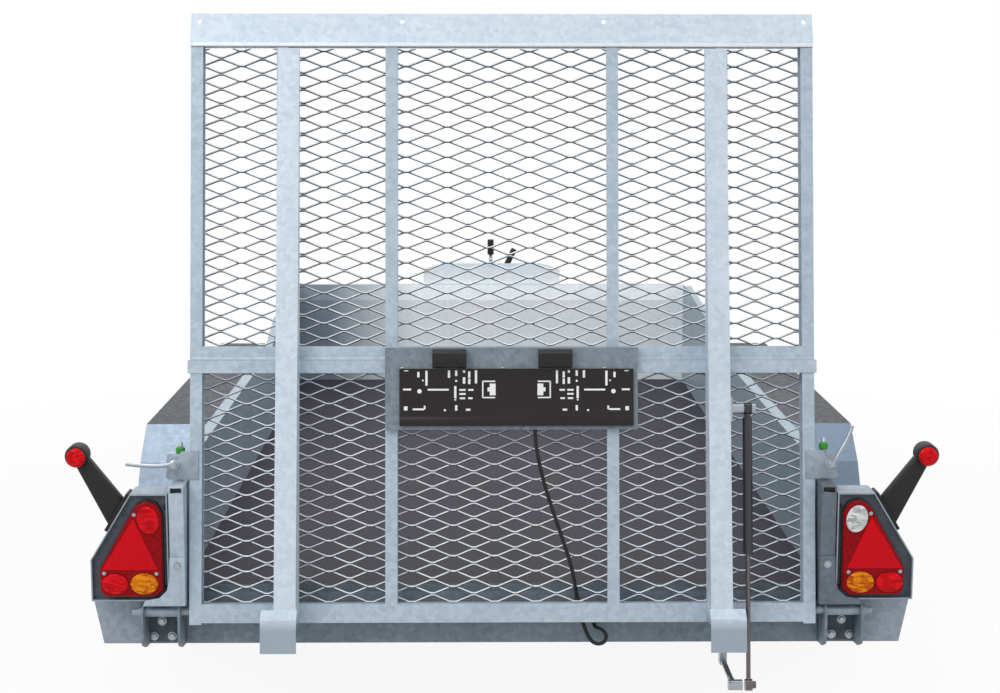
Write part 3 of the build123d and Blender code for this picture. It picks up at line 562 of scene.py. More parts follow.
floor_data = bpy.data.meshes.new("studio_floor")
bm.to_mesh(floor_data)
bm.free()
floor_data.materials.append(studio)
studio_floor = bpy.data.objects.new("studio_floor", floor_data)
bpy.context.scene.collection.objects.link(studio_floor)
print("the floor is", round(2 * FLOOR_HALF * MM), "m wide")

# %% [markdown]
# ## Sky and lamps
# The sky is plain white where it is seen and about half as strong as light, so that pale zinc
# doesn't clip. The lamps are large and soft, because the picture has no hard shadow, and the
# strongest of those behind the trailer stands on its left.

# %% Sky and lamps
SKY_LIGHT = 0.55
world = bpy.data.worlds.new("white_studio")
bpy.context.scene.world = world
world.use_nodes = True
sky = world.node_tree
sky.nodes.clear()
level = add(sky, "ShaderNodeMapRange", {"Value": seen_directly(sky), "To Min": SKY_LIGHT,
                                        "To Max": 1.0})
light = add(sky, "ShaderNodeBackground", {"Color": (1, 1, 1, 1), "Strength": level.outputs[0]})
add(sky, "ShaderNodeOutputWorld", {"Surface": light.outputs[0]})
lamps = (  # name, place, what it looks at, width and height in metres, and power in watts
    ("key_lamp", (-3.5, -6.5, 5.0), (0, -1.5, 0.6), (4, 3), 150),
    ("fill_lamp", (4.5, -4.5, 3.2), (0, -1.5, 0.6), (3, 3), 35),
    ("bed_lamp", (-0.4, -0.9, 3.4), (0, 0.8, 0.6), (2, 1), 35),
    ("top_lamp", (0, 0.5, 6.5), (0, 0, 0.5), (5, 6), 150),
)
for name, place, target, size, power in lamps:
    data = bpy.data.lights.new(name, "AREA")
    data.shape = "RECTANGLE"
    data.size, data.size_y = size
    data.energy = power
    lamp = bpy.data.objects.new(name, data)
    lamp.location = place
    lamp.rotation_euler = (Vector(target) - Vector(place)).to_track_quat("-Z", "Y").to_euler()
    bpy.context.scene.collection.objects.link(lamp)
bpy.context.scene.view_settings.view_transform = "Standard"
print("lamps", len(lamps), "with", sum(lamp[-1] for lamp in lamps), "W")

# %% [markdown]
# ## The lamps' cable
# A black rubber cable leaves the number-plate board, hangs behind the ramp with a little slack,
# turns up in a small loop at the crossmember, and goes into it. It crosses the hinge, so it is
# two cords with a plug joint at the hinge. Each is one smooth NURBS curve on the points that the
# CAD route uses, and a short turned sleeve is the connector between them.

# %% Cable
CABLE_MM = 8.5
upper_route = [
    (72, 406, 26), (72, 382, 26), (78, 345, 20), (88, 300, 9), (103, 250, -1), (120, 200, -9),
    (137, 150, -14), (152, 105, -16), (161, 65, -20), (166, 36, -33), (169, 14, -40),
]
lower_route = [
    (171, 47, 356), (176, 45, 330), (184, 41, 304), (196, 30, 276), (212, 20, 268), (230, 15, 274),
    (234, 16, 292), (222, 22, 304), (208, 36, 304), (208, 58, 304),
]


def round_line(name, spots, thick, steps=12):
    """A smooth NURBS line through some places, with a round thickness in mm."""
    data = bpy.data.curves.new(name, "CURVE")
    data.dimensions = "3D"
    spline = data.splines.new("NURBS")
    spline.points.add(len(spots) - 1)
    for point, spot in zip(spline.points, spots):
        point.co = (*spot, 1)
    spline.order_u = 3
    spline.use_endpoint_u = True
    spline.resolution_u = steps
    data.bevel_depth = thick * MM / 2
    data.bevel_resolution = 3
    data.use_fill_caps = True
    return data


def cable(name, route, place, body, replaced):
    """A round cord along a route, which replaces a part of the model."""
    spots = [place @ Vector(p) for p in route]
    data = round_line(name, spots, CABLE_MM, 8)
    data.materials.append(soft_rubber)
    made = bpy.data.objects.new(name, data)
    bpy.context.scene.collection.objects.link(made)
    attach(made, body)
    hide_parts(replaced)
    data.bevel_depth = 0.0
    plain = bpy.data.meshes.new_from_object(made)
    data.bevel_depth = CABLE_MM * MM / 2


sleeve = bmesh.new()
sleeve_profile = [(4.3, 12), (5.4, 11), (5.8, 2), (5.8, -1), (5.4, -3), (4.3, -3)]
last_way = Vector(upper_route[-2]) - Vector(upper_route[-1])
turned(sleeve, sleeve_profile, 20, facing(upper_route[-1], last_way))
connector = piece("cable_connector", sleeve, "ramp", soft_rubber, ramp, smooth=True)
cable("lamp_cable_upper", upper_route, ramp, "ramp", "cable_upper")
cable("lamp_cable_lower", lower_route, chassis, "trailer", "cable_lower")

# %% [markdown]
# ## Expanded metal
# The ramp is filled with expanded metal: a sheet that is slit and stretched, so that each strand
# zigzags and is one piece with its neighbours at the bonds. The strands stand at an angle. Their
# broad face looks down and out, and is darkened by painted shade; their cut edge looks up, and
# its near-white colour is a painted glint. That is why the panel is bright against the deck and
# dark against the sky. One strand is a zigzag line that is extruded to its width and given a
# thickness, a pair of them is copied up the ramp, and the panel is trimmed at its frame.

# %% Expanded metal
LONG_WAY, SHORT_WAY = 93.0, 34.3      # pitch of the diamonds across and up, in mm
STRAND, STRAND_THICK = 3.7, 3.1       # width and thickness of a strand, in mm
TILT = radians(54)
BOND = 9.0                            # length of the flat where two strands are one
PANEL_HALF = 690.0
PANEL_FRONT = -24.0                   # how far out the panel's outer side stands
# lower edge, upper edge, and how far the lattice is shifted across and up to meet the photograph
LOW_PANEL = (17.0, 544.0, -14.0, 0.0)
HIGH_PANEL = (547.0, 1267.0, 19.5, 12.0)


def expanded_panel(name, v0, v1, across, up):
    """A panel between two heights, with its lattice shifted across and up."""
    bm = bmesh.new()
    width = Vector((0, STRAND * cos(TILT), STRAND * sin(TILT)))
    rise = Vector((0, SHORT_WAY / 2, 0)) - width
    start = -LONG_WAY * (int(PANEL_HALF / LONG_WAY) + 1)
    for odd in (0, 1):
        low = Vector((start + across, odd * SHORT_WAY / 2, 0))
        first = bm.verts.new(low + odd * rise)
        if odd:
            first.co.y -= SHORT_WAY
        line, edges, side = first, [], 1 - 2 * odd
        for _ in range(int(-start * 2 / LONG_WAY) * 2):
            grown = bmesh.ops.extrude_vert_indiv(bm, verts=[line])
            along = Vector((LONG_WAY / 2 - BOND, 0, 0)) + side * rise
            bmesh.ops.translate(bm, verts=grown["verts"], vec=along)
            flat = bmesh.ops.extrude_vert_indiv(bm, verts=grown["verts"])
            bmesh.ops.translate(bm, verts=flat["verts"], vec=(BOND, 0, 0))
            edges += grown["edges"] + flat["edges"]
            line, side = flat["verts"][0], -side
        wide = bmesh.ops.extrude_edge_only(bm, edges=edges)["geom"]
        bmesh.ops.translate(bm, vec=width, verts=verts_of(wide))
    bmesh.ops.recalc_face_normals(bm, faces=bm.faces[:])
    bmesh.ops.solidify(bm, geom=bm.faces[:], thickness=STRAND_THICK)
    rows = int((v1 - v0) / SHORT_WAY) + 3
    pair = bm.verts[:] + bm.edges[:] + bm.faces[:]
    bmesh.ops.translate(bm, verts=bm.verts[:], vec=(0, v0 - SHORT_WAY + up, 0))
    for row in range(1, rows):
        copy = bmesh.ops.duplicate(bm, geom=pair)["geom"]
        bmesh.ops.translate(bm, vec=(0, row * SHORT_WAY, 0), verts=verts_of(copy))
    for point, out in (((-PANEL_HALF, 0, 0), (-1, 0, 0)), ((PANEL_HALF, 0, 0), (1, 0, 0)),
                       ((0, v0, 0), (0, -1, 0)), ((0, v1, 0), (0, 1, 0))):
        bmesh.ops.bisect_plane(bm, geom=bm.verts[:] + bm.edges[:] + bm.faces[:], plane_co=point,
                               plane_no=out, clear_outer=True)
        bmesh.ops.holes_fill(bm, edges=[e for e in bm.edges if e.is_boundary], sides=0)
    outer = max(v.co.z for v in bm.verts)
    bmesh.ops.translate(bm, verts=bm.verts[:], vec=(0, 0, PANEL_FRONT - outer))
    print(name, "has", sum(len(f.verts) - 2 for f in bm.faces), "triangles")
    return piece(name, bm, "ramp", strand_zinc, ramp, fix=False)


mesh_low = expanded_panel("expanded_metal_low", *LOW_PANEL)
expanded_panel("expanded_metal_high", *HIGH_PANEL)
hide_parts("ramp_mesh")

# %% [markdown]
# ## Tyres
# The four tyres are 155/70 R12: a ribbed tread between rounded shoulders. The carcass is a turned
# profile, whose middle is four ribs with grooves between them. Each shoulder is a ring of small
# blocks, made once and spun, with 6 to 11 mm between one and the next.

# %% Tyres
WHEEL_X, WHEEL_Z = 806.0, 261.0
WHEEL_YS = {"rear": 975.0, "front": 1640.0}
TYRE_R, TYRE_HALF, RIM_R = 261.0, 78.0, 152.0
RIBS = ((-38, 9), (-13, 10), (13, 10), (38, 9))     # middle and half width of each
GROOVE_R, RIB_R = TYRE_R - 7, TYRE_R - 0.6
BLOCKS = 60
BLOCK_OUTLINE = [(-9.5, 0), (9.5, 0), (8, 9), (-8, 9)]


def tyre(end, side, hand):
    """A tyre that stands on its wheel's axis and replaces the plain one."""
    bm = bmesh.new()
    tread = []
    for middle, half in RIBS:
        tread += [(GROOVE_R, middle - half - 2), (RIB_R, middle - half),
                  (RIB_R, middle + half), (GROOVE_R, middle + half + 2)]
    shell = [(RIM_R - 4, -62), (RIM_R + 8, -67), (176, -75), (206, -TYRE_HALF), (232, -74),
             (246, -66), (252, -57), (253, -52)]
    outside = shell + tread + [(r, -z) for r, z in shell[::-1]]
    inside = [(RIM_R - 4, 54), (178, 66), (226, 66), (246, 44), (246, -44), (226, -66), (178, -66),
              (RIM_R - 4, -54)]
    turned(bm, outside + inside + [outside[0]], 96)
    for edge in (-1, 1):
        turn = Matrix.Rotation(radians(edge * -24), 4, "X")
        lift = Matrix.Translation((0, 247.5, edge * 60)) @ turn @ Matrix.Translation((0, -1, -8.5))
        verts = prism(bm, BLOCK_OUTLINE, 17, lift)
        edges = {e for v in verts for e in v.link_edges}
        faces = {f for v in verts for f in v.link_faces}
        bmesh.ops.spin(bm, geom=verts + list(edges) + list(faces), cent=(0, 0, 0),
                       axis=(0, 0, 1), dvec=(0, 0, 0), angle=2 * pi * (BLOCKS - 1) / BLOCKS,
                       steps=BLOCKS - 1, use_duplicate=True)
    axle = Matrix.Translation((side * WHEEL_X, WHEEL_YS[end], WHEEL_Z))
    made = piece(f"treaded_tyre_{end}_{hand}", bm, f"wheel_{end}_{hand}", tyre_rubber,
                 chassis @ axle @ Matrix.Rotation(pi / 2, 4, "Y"), smooth=True)
    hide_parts(f"tyre_{end}_{hand}")
    print(made.name, "has", len(made.data.polygons), "faces")


for end in WHEEL_YS:
    for side, hand in SIDES:
        tyre(end, side, hand)

# %% [markdown]
# ## Fasteners
# Bolts are what makes a welded frame believable. One recipe serves all: a washer, a six-sided
# head with its top edges taken off, and a place. The bolts of a group that sit on one body are
# one piece.

# %% Bolts
WASHER_R, HEAD_R, HEAD_HIGH, HEAD_EDGE = 0.72, 0.577, 0.42, 0.07    # shares of the head's width
WASHER_THICK = 2.0
back = (0, -1, 0)


def bolt(bm, point, direction, across=17.0, roll=0.3):
    """Adds a washer and a hex head, standing on a surface."""
    place = facing(point, direction, roll)
    washer = bmesh.ops.create_cone(bm, cap_ends=True, segments=20, radius1=across * WASHER_R,
                                   radius2=across * WASHER_R, depth=WASHER_THICK)["verts"]
    bmesh.ops.transform(bm, matrix=place @ Matrix.Translation((0, 0, WASHER_THICK / 2)),
                        verts=washer)
    head = bmesh.ops.create_cone(bm, cap_ends=True, segments=6, radius1=across * HEAD_R,
                                 radius2=across * HEAD_R, depth=across * HEAD_HIGH)["verts"]
    top = [e for e in {e for v in head for e in v.link_edges} if all(v.co.z > 0 for v in e.verts)]
    lift = Matrix.Translation((0, 0, WASHER_THICK + across * HEAD_HIGH / 2))
    bmesh.ops.transform(bm, matrix=place @ lift, verts=head)
    bmesh.ops.bevel(bm, geom=top, offset=across * HEAD_EDGE, segments=1, affect="EDGES",
                    profile=0.5, material=-1)


def bolts(name, body, spots, across):
    """Some bolts on one body, each at a point and along a direction."""
    bm = bmesh.new()
    for point, direction in spots:
        bolt(bm, point, direction, across)
    piece(name, bm, body, plated, chassis, fix=False)
    print(name, len(spots))


def on_both(points, y):
    """Points in X and Z on the right and mirrored on the left, which face the rear."""
    return [((side * x, y, z), back) for side, hand in SIDES for x, z in points]


# %% [markdown]
# ## Rear lamps
# Each cluster is one deep red moulding in a black gasket. It carries a triangle of corner cubes
# and three oval windows: fog lamp, indicator and, at the top, brake lamp or a clear reversing lamp
# on the right. The body is a rounded outline that is extruded and bevelled, and each window is a
# lower, softer copy of the same recipe, a few millimetres proud.

# %% Lamp clusters
to_rear = Matrix(((1, 0, 0, 0), (0, 0, -1, 0), (0, 1, 0, 0), (0, 0, 0, 1)))
LAMP_OUTLINE = [
    (769, 397), (878, 397), (890, 409), (890, 459), (822, 579), (807, 603), (787, 612), (764, 605),
    (752, 583), (752, 413),
]
LAMP_BOX_SHADE_SHEET = [(743, 387), (909, 387), (909, 477), (820, 623), (743, 623)]
LAMP_BOX_SHADE_SHEET_Y, GASKET_Y, BODY_Y = -10.0, -10.5, -18.0       # where each one starts
LAMP_FACE = -33.0                                       # and where the red body ends
GASKET_GROWS, GASKET_DEEP = 2.5, 9
TRIANGLE = [(761, 458), (885, 458), (813, 576)]
SCREWS = ((811, 583), (880, 451), (765, 450))
STUDS = ((745, 411), (745, 595))
STUD = [(0, 5), (4.5, 4.2), (6, 2), (6, 0), (0, 0)]


def rear_plate(name, side, finish, outline, y_from, depth, bevel=1.0, segments=2):
    """A plate drawn in X and Z on the right side, which stands towards the rear."""
    bm = bmesh.new()
    verts = prism(bm, outline, depth)
    soften(bm, verts, bevel, segments)
    place = handed(side) @ Matrix.Translation((0, y_from, 0)) @ to_rear
    return piece(name, bm, "trailer", finish, place, smooth=True)


def grown(outline, by):
    """An outline moved away from its middle."""
    middle = Vector((sum(x for x, z in outline), sum(z for x, z in outline))) / len(outline)
    return [tuple(Vector(p) + (Vector(p) - middle).normalized() * by) for p in outline]


def oval(x, z, wide, high, turn=0.0, count=32):
    """The outline of a window, leaning by some degrees."""
    lean = Matrix.Rotation(radians(turn), 2)
    rim = [lean @ Vector((wide * cos(2 * pi * i / count), high * sin(2 * pi * i / count)))
           for i in range(count)]
    return [(x + p.x, z + p.y) for p in rim]


for side, hand in SIDES:
    # a dark sheet over the lamp box's recessed plate: painted shade
    rear_plate(f"lamp_box_shade_sheet_{hand}", side, zinc_dark, LAMP_BOX_SHADE_SHEET, LAMP_BOX_SHADE_SHEET_Y, 1.5, 0.3, 1)
    gasket = rear_plate(f"lamp_gasket_{hand}", side, black_abs,
                        grown(LAMP_OUTLINE, GASKET_GROWS), GASKET_Y, GASKET_DEEP, 2)
    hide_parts("lamp_clusters")
    rear_plate(f"lamp_body_{hand}", side, red_body, LAMP_OUTLINE, BODY_Y,
               BODY_Y - LAMP_FACE, 5, 4)
    rear_plate(f"lamp_triangle_{hand}", side, red_reflex, TRIANGLE, LAMP_FACE + 1, 4,
               1.2)
    for label, window, finish in (
        ("outer", oval(856.5, 427, 29.5, 23), red_lens),
        ("inner", oval(792, 427, 30.5, 24), amber_lens),
        ("top", oval(781, 571, 23.5, 31, -14), clear_lens if side > 0 else red_lens),
    ):
        slot_name = "red_lens" if finish is red_lens else None
        rear_plate(f"lamp_{label}_oval_{hand}", side, finish, window, LAMP_FACE + 2, 7,
                   2.8, 3)
bolts("lamp_screws", "trailer", on_both(SCREWS, LAMP_FACE), 6.0)
studs = bmesh.new()
for point, way in on_both(STUDS, LAMP_BOX_SHADE_SHEET_Y - 1.5):
    turned(studs, STUD, 16, facing(point, way))
piece("lamp_studs", studs, "trailer", black_abs, smooth=True)

# %% [markdown]
# ## Corner posts and hinge brackets
# A folded channel stands at each rear corner, with a cap that shows a dark slot, and a flared foot
# that spreads over the hinge. Below it a bolted back plate carries two cheeks and the spacer tube
# of the hinge pin. All of it is plate work: a U section that is extruded upwards, and outlines
# that are cut from plate and given their thickness. A small black sheet paints the shade in the
# cap's slot. The right post takes a darker zinc as painted shade, and a lighter sheet on each end
# of the crossmember is painted light.

# %% Corner posts and hinge brackets
POST_X, POST_REAR, FRAME_REAR = (704.0, 737.0), -22.0, 58.0
SHOULDER, POST_TOP, CAP_TOP = 372.0, 628.0, 642.0
SHEET = 3.0
to_side = Matrix(((0, 0, 1, 0), (1, 0, 0, 0), (0, 1, 0, 0), (0, 0, 0, 1)))
FLARE = [(704, 484), (737, 484), (739, 432), (745, 408), (762, 392), (793, 386), (799, 373),
         (704, 373)]
CHEEK = [(58, 262), (58, 371), (-16, 371), (-28, 356), (-28, 292), (-20, 280), (10, 268)]
CAP_SLOT_SHADE = [(708, 628), (733, 628), (733, 639), (708, 639)]
CROSS_END_LIT = [(806, 263), (902, 263), (924, 371), (806, 371)]
CHEEK_X, CHEEK_THICK = (717.0, 798.0), 6.0
PLATE_Z, PLATE_THICK = (268, 371), 6
PIN_R, PIN_X = 8.0, (676, 826)
SPACER_R, COLLAR_R, COLLAR_END = 11.0, 13.0, 812
# the left post is lit, and the right one takes painted shade
POST_LIT_AND_SHADED = {-1: zinc_frame, 1: zinc_painted_shade}
PLATE_BOLTS = ((748, 281), (789, 281), (770, 316))
FOOT_BOLTS = ((720, 466),)
for side, hand in SIDES:
    steel = POST_LIT_AND_SHADED[side]
    (x0, x1), y0, y1 = POST_X, POST_REAR, FRAME_REAR
    section = [(x0, y1), (x0, y0), (x1, y0), (x1, y1), (x1 - SHEET, y1), (x1 - SHEET, y0 + SHEET),
               (x0 + SHEET, y0 + SHEET), (x0 + SHEET, y1)]
    bm = bmesh.new()
    verts = prism(bm, section, POST_TOP - SHOULDER, Matrix.Translation((0, 0, SHOULDER)))
    soften(bm, verts, 1.0)
    post = piece(f"corner_post_{hand}", bm, "trailer", steel, handed(side),
                 smooth=True)
    cap = [(x0, POST_TOP), (x0, CAP_TOP), (x1, CAP_TOP), (x1, POST_TOP), (x1 - 4, POST_TOP),
           (x1 - 4, CAP_TOP - 3), (x0 + 4, CAP_TOP - 3), (x0 + 4, POST_TOP)]
    rear_plate(f"corner_cap_{hand}", side, steel, cap, FRAME_REAR, 80, 0.6)
    rear_plate(f"corner_foot_{hand}", side, steel, FLARE, POST_REAR, 4, 1.0)
    # a black sheet in the cap's slot: painted shade
    rear_plate(f"cap_slot_shade_{hand}", side, black_abs, CAP_SLOT_SHADE, -12, 4, 0.5)
    # a lighter sheet over the crossmember's ends: painted light, as its middle lies in shade
    rear_plate(f"crossmember_end_painted_light_{hand}", side, zinc_mid, CROSS_END_LIT, FRAME_REAR, 1.5,
               0.4)
    bm = bmesh.new()
    x0, x1, (z0, z1) = CHEEK_X[0], CHEEK_X[1] + CHEEK_THICK, PLATE_Z
    prism(bm, [(x0, z0), (x1, z0), (x1, z1), (x0, z1)], PLATE_THICK,
          Matrix.Translation((0, FRAME_REAR, 0)) @ to_rear)
    bracket = piece(f"hinge_plate_{hand}", bm, "trailer", zinc_dark, handed(side))
    bm = bmesh.new()
    for x in CHEEK_X:
        verts = prism(bm, CHEEK, CHEEK_THICK, Matrix.Translation((x, 0, 0)) @ to_side)
        soften(bm, verts, 1.2)
    piece(f"hinge_cheeks_{hand}", bm, "trailer", zinc_dull, handed(side), smooth=True)
    bm = bmesh.new()
    bar(bm, (CHEEK_X[0] + CHEEK_THICK, 0, HINGE_Z), (CHEEK_X[1], 0, HINGE_Z), SPACER_R, 28)
    verts = bar(bm, (PIN_X[0], 0, HINGE_Z), (PIN_X[1], 0, HINGE_Z), PIN_R, 24)
    soften(bm, verts, 1.5)
    verts = bar(bm, (x1, 0, HINGE_Z), (COLLAR_END, 0, HINGE_Z), COLLAR_R, 28)
    soften(bm, verts, 1.0)
    piece(f"hinge_pin_{hand}", bm, "trailer", zinc_mid, handed(side), smooth=True)
    if side < 0:
        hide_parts("rear_posts")
        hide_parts("hinge_brackets")
bolts("hinge_bolts", "trailer", on_both(PLATE_BOLTS, FRAME_REAR - PLATE_THICK), 14.0)
bolts("post_foot_bolts", "trailer", on_both(FOOT_BOLTS, POST_REAR - 4), 12.0)

# %% [markdown]
# ## Stalk lamps
# The width lamps stand out on flat tapered rubber arms and show red behind and white ahead. The
# arm is cut like a plate and well rounded. The head is a turned drum, with a domed lens on each
# face that sits a little low, as the photograph shows.

# %% Stalk lamps
STALK_HEAD, STALK_LENS = (938.0, 709.0), (938.0, 707.5)
PAD_FOOT, PAD_TOP, PAD_OUT = 538, 622, 8
SLANT_FOOT, SLANT_TOP = Vector((912, 478)), Vector((822, 626))
ARM = [(838, 606), (872, 546), (946, 692), (916, 706)]
DRUM = [(0, 24), (21.5, 24), (24, 22), (25, 18), (25, -18), (24, -22), (21.5, -24), (0, -24)]
DOME = [(0, 6), (9, 5.5), (15.5, 4), (20.5, 1.2), (22, -2), (0, -2)]


def on_slant(z, out=0.0):
    """A point on the light box's slanting side, and how far it stands off."""
    along = (SLANT_TOP - SLANT_FOOT).normalized()
    point = SLANT_FOOT + along * (z - SLANT_FOOT.y) / along.y
    return tuple(point + Vector((along.y, -along.x)) * out)


for side, hand in SIDES:
    pad = [on_slant(PAD_TOP), on_slant(PAD_FOOT), on_slant(PAD_FOOT, PAD_OUT),
           on_slant(PAD_TOP, PAD_OUT)]
    rear_plate(f"stalk_pad_{hand}", side, soft_rubber, pad, 40, 52, 2.0)
    arm = rear_plate(f"stalk_arm_{hand}", side, soft_rubber, ARM, 24, 28, 7, 4)
    bm = bmesh.new()
    turned(bm, DRUM, 40, facing((STALK_HEAD[0], 6, STALK_HEAD[1]), back))
    piece(f"stalk_drum_{hand}", bm, "trailer", soft_rubber, handed(side),
          smooth=True)
    for end, y, way, finish, slot_name in (
        ("rear", -18, -1, red_lens, "red_lens"), ("front", 30, 1, clear_lens, None),
    ):
        bm = bmesh.new()
        turned(bm, DOME, 32, facing((STALK_LENS[0], y, STALK_LENS[1]), (0, way, 0)))
        piece(f"stalk_lens_{end}_{hand}", bm, "trailer", finish, handed(side),
              smooth=True)
    if side < 0:
        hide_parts("stalk_lamps")
print("a stalk lamp stands", STALK_HEAD[0] - SLANT_TOP.x, "mm out from the box's top corner")

# %% [markdown]
# ## Latches
# A plate on each post of the ramp carries a spindle with a cranked handle, and a spring bolt with
# a green knob stands above it. Round wire, such as a handle or a spring, is a NURBS line through
# a few points with a thickness, turned into a mesh.

# %% Latches
def drawn_wire(name, points, wire, place, body, finish):
    """A round wire along a smooth line through some points, as a mesh piece."""
    data = round_line(name, [place @ Vector(p) for p in points], wire)
    line = bpy.data.objects.new(name + "_line", data)
    mesh = bpy.data.meshes.new_from_object(line)
    bpy.data.objects.remove(line)
    bm = bmesh.new()
    bm.from_mesh(mesh)
    piece(name, bm, body, finish, Matrix(), smooth=True)


LATCH_PLATE = [(678, 295), (745, 295), (752, 303), (716, 358), (678, 358)]
LATCH_BACK = [(699, 300), (750, 300), (750, 352), (699, 352)]
SPINDLE = (732.0, 328.0)
POST_FACE = 15.0                      # the outer face of the ramp's posts
KNOB = [(0, 17), (7, 16.5), (10.5, 13), (10.5, 3), (9, 0), (0, 0)]
KNOB_U, KNOB_V = 721, {-1: 352.0, 1: 360.0}
BOLT_FOOT, BOLT_TALL, BOLT_R = 320, 26, 5       # the spring bolt, and how far it passes the knob
GUIDE = (712, 730, 331, 340, -4, 8)
COIL_R, COIL_FOOT, COIL_WIRE = 8, 341, 2.4
COIL_STEPS, COIL_PER_TURN = 50, 10
HANDLE_WIRE = 9
HANDLES = {
    -1: [(732, 328, 40), (744, 328, 45), (764, 326, 46), (800, 327, 47), (834, 331, 47)],
    1: [(732, 328, 40), (738, 336, 44), (750, 358, 46), (766, 384, 47), (777, 413, 47)],
}
for side, hand in SIDES:
    here = handed(side, ramp)
    bm = bmesh.new()
    verts = prism(bm, LATCH_PLATE, 4, Matrix.Translation((0, 0, POST_FACE)))
    soften(bm, verts, 0.8)
    verts = prism(bm, LATCH_BACK, 4, Matrix.Translation((0, 0, POST_FACE - 8)))
    soften(bm, verts, 0.8)
    plate = piece(f"latch_plate_{hand}", bm, "ramp", zinc_mid, here, smooth=True)
    if side < 0:
        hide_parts("latches")
    bm = bmesh.new()
    bar(bm, (*SPINDLE, 2), (*SPINDLE, 46), 6, 24)
    washer = bar(bm, (*SPINDLE, 19), (*SPINDLE, 22), 11, 28)
    soften(bm, washer, 0.6)
    nut = bar(bm, (*SPINDLE, 30), (*SPINDLE, 39), 9.5, 6)
    soften(bm, nut, 0.8)
    pin = bar(bm, (KNOB_U, BOLT_FOOT, 0), (KNOB_U, KNOB_V[side] + BOLT_TALL, 0), BOLT_R, 20)
    soften(bm, pin, 1.0)
    soften(bm, block(bm, *GUIDE), 0.8)
    piece(f"latch_spindle_{hand}", bm, "ramp", plated, here, smooth=True)
    drawn_wire(f"latch_handle_{hand}", HANDLES[side], HANDLE_WIRE, here, "ramp", plated)
    bm = bmesh.new()
    turned(bm, KNOB, 28, facing((KNOB_U, KNOB_V[side], 0), (0, 1, 0)))
    piece(f"latch_knob_{hand}", bm, "ramp", green_knob, here, smooth=True)
    coil = []
    for i in range(COIL_STEPS + 1):
        turn = 2 * pi * i / COIL_PER_TURN
        rise = (KNOB_V[side] - COIL_FOOT) * i / COIL_STEPS
        coil.append((KNOB_U + COIL_R * cos(turn), COIL_FOOT + rise, COIL_R * sin(turn)))
    drawn_wire(f"latch_spring_{hand}", coil, COIL_WIRE, here, "ramp", plated)
    print("the", hand, "spring has", COIL_STEPS // COIL_PER_TURN, "turns")

# %% [markdown]
# ## The number-plate holder
# The holder is a smoked black moulding with a recessed face and a lip below. It is pierced by many
# small slots for the screws of other plates, and shows white through them. A box has its face
# inset and pushed back for the recess. The slots are thin white blocks on its floor. They come
# from a short table, which holds one half, because the other half mirrors it.

# %% Plate holder
HOLDER_U, HOLDER_V = (-230.0, 290.0), (433.0, 541.0)
LIP_DEEP, LIP_OUT = 19.0, 10          # the dark lip below the recess, and how far it stands out
BOARD_FACE, HOLDER_DEEP, RIM = 37.0, 7.0, 5.0
HOLDER_MIDDLE = sum(HOLDER_U) / 2
slots = (  # from the middle, down from the top edge, width and height, in mm
    (245, 4, 9, 3), (218, 13, 5, 12), (200, 21, 5, 33), (208, 26, 4, 4), (243, 46, 18, 4),
    (215.5, 50, 10, 10), (174, 46.5, 47, 4), (150, 11, 5, 18), (134, 9, 5, 14), (134, 27, 5, 5),
    (116.5, 6, 5, 6), (116.5, 26, 5.5, 14), (105, 13, 5, 14), (105, 28, 5, 12), (90, 18, 5, 29),
    (136, 52, 5, 27), (120, 47, 14, 4), (101.5, 47, 12, 4), (120, 56, 14, 4), (120, 65.5, 12, 4),
    (102.5, 65.5, 10, 4), (136, 69, 4, 4), (246, 88, 8, 9), (218, 90, 25, 4), (204, 86, 4, 8),
    (159, 92, 5, 5), (134, 87, 5, 12), (107.5, 91, 10, 4.5), (75, 46, 3, 38), (61.5, 28, 28, 3),
    (61.5, 64, 28, 3), (53, 46, 13, 26), (62, 46, 5, 9),
)
SLOT_DEEP, SLOT_PROUD = 2, 0.2
RIVET_DU, RIVET_UP, RIVET_R = (-254, -30, 196), 1.5, 4      # from the holder's middle and top
RIVET_SHAPE = (1.4, 0.7, 0.7, 1)
MIDDLE_LIP = (-697, 697, 559, 568, 15, 19)
TOE_HIGHLIGHT_STRIP = (-699, 699, 1264, 1273, 15, 18)


bm = bmesh.new()
verts = block(bm, *HOLDER_U, *HOLDER_V, BOARD_FACE, BOARD_FACE + HOLDER_DEEP)
face = max(bm.faces, key=lambda f: f.calc_center_median().z)
bmesh.ops.inset_region(bm, faces=[face], thickness=RIM)
bmesh.ops.translate(bm, verts=face.verts[:], vec=(0, 0, -HOLDER_DEEP / 2))
soften(bm, bm.verts[:], 0.8)
lip = block(bm, *HOLDER_U, HOLDER_V[0] - LIP_DEEP, HOLDER_V[0] + 1, BOARD_FACE,
            BOARD_FACE + LIP_OUT)
soften(bm, lip, 1.5)
holder = piece("plate_holder_moulding", bm, "ramp", holder_abs, ramp, smooth=True)
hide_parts("plate_holder")
bm = bmesh.new()
floor_w = BOARD_FACE + HOLDER_DEEP / 2
w0, w1 = floor_w - SLOT_DEEP, floor_w + SLOT_PROUD
for du, down, wide, high in slots:
    for side, hand in SIDES:
        u, v = HOLDER_MIDDLE + side * du, HOLDER_V[1] - down
        if wide == high:
            bar(bm, (u, v, w0), (u, v, w1), wide / 2, 16)
        else:
            block(bm, u - wide / 2, u + wide / 2, v - high / 2, v + high / 2, w0, w1)
piece("plate_holder_slots", bm, "ramp", white_sheet, ramp, fix=False)
bm = bmesh.new()
for du in RIVET_DU:
    head = bmesh.ops.create_uvsphere(bm, u_segments=14, v_segments=8, radius=RIVET_R)["verts"]
    place = Matrix.Translation((HOLDER_MIDDLE + du, HOLDER_V[1] + RIVET_UP, BOARD_FACE))
    bmesh.ops.transform(bm, verts=head, matrix=place @ Matrix.Diagonal(RIVET_SHAPE))
piece("holder_rivets", bm, "ramp", plated, ramp, smooth=True)
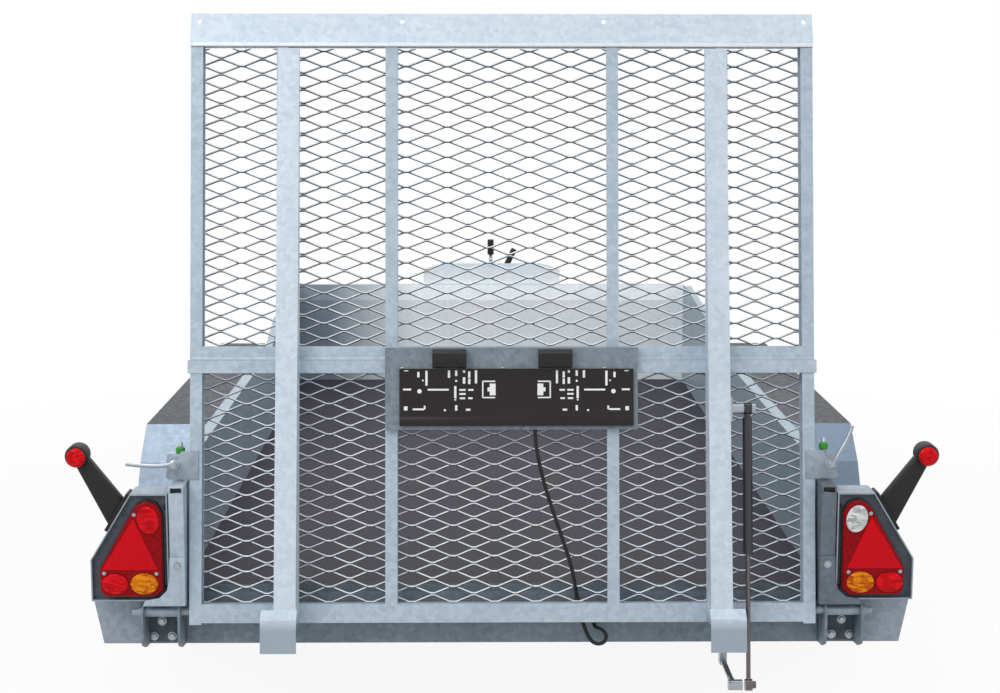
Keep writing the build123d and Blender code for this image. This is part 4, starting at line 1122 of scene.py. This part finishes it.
# the toe plate's strip is near white: a painted highlight along its lower edge
for name, corners, finish in (
    ("middle_bar_lip", MIDDLE_LIP, zinc_frame), ("toe_plate_highlight_strip", TOE_HIGHLIGHT_STRIP, strand_zinc),
):
    bm = bmesh.new()
    soften(bm, block(bm, *corners), 0.6)
    piece(name, bm, "ramp", finish, ramp, smooth=True)
print("slots", 2 * len(slots))

# %% [markdown]
# ## Grips
# The jockey's crank and the brake lever end in black moulded grips. They are taken to be the two
# dark marks above the bucket rest in the photograph, because the rest of them is hidden. Each is a
# ribbed sleeve, turned on a lathe.

# %% Grips
RIB_PITCH = 7


def grip(name, start, end, radius, body):
    """A ribbed sleeve from one point to another."""
    way = Vector(end) - Vector(start)
    profile = [(0, 0), (radius, 1)]
    ribs = int(way.length / RIB_PITCH)
    for i in range(ribs):
        low = 2 + i * (way.length - 5) / ribs
        profile += [(radius, low), (radius + 1, low + 2), (radius + 1, low + 4), (radius, low + 5)]
    profile += [(radius - 1, way.length), (0, way.length)]
    bm = bmesh.new()
    turned(bm, profile, 24, facing(start, way))
    piece(name, bm, body, soft_rubber, chassis, smooth=True)
    print(name, "has", ribs, "ribs")


grip("crank_grip", (0, 3255, 830), (0, 3255, 890), 12, "trailer")
grip("lever_grip", (66, 3535, 756), (99, 3535, 826), 11.5, "brake_lever")

# %% [markdown]
# ## Wheels
# Each rim is held by five bolts round a plated hub cap. They are turned shapes and hex heads on
# the wheel's own axis.

# %% Wheel bolts and hub caps
CAP = [(0, 24), (14, 23), (24, 18), (28, 8), (28, 0), (0, 0)]
CAP_OUT, BOLT_OUT = 62, 40              # how far out from the wheel's middle they stand
BOLT_CIRCLE, WHEEL_BOLTS = 57, 5
for end, y in WHEEL_YS.items():
    for side, hand in SIDES:
        body = f"wheel_{end}_{hand}"
        out = (side, 0, 0)
        bm = bmesh.new()
        turned(bm, CAP, 32, facing((side * (WHEEL_X + CAP_OUT), y, WHEEL_Z), out))
        piece(f"hub_cap_{end}_{hand}", bm, body, plated, chassis, smooth=True)
        spots = []
        for i in range(WHEEL_BOLTS):
            turn = 2 * pi * i / WHEEL_BOLTS
            spots.append(((side * (WHEEL_X + BOLT_OUT), y + BOLT_CIRCLE * sin(turn),
                           WHEEL_Z + BOLT_CIRCLE * cos(turn)), out))
        bolts(f"wheel_bolts_{end}_{hand}", body, spots, 19.0)
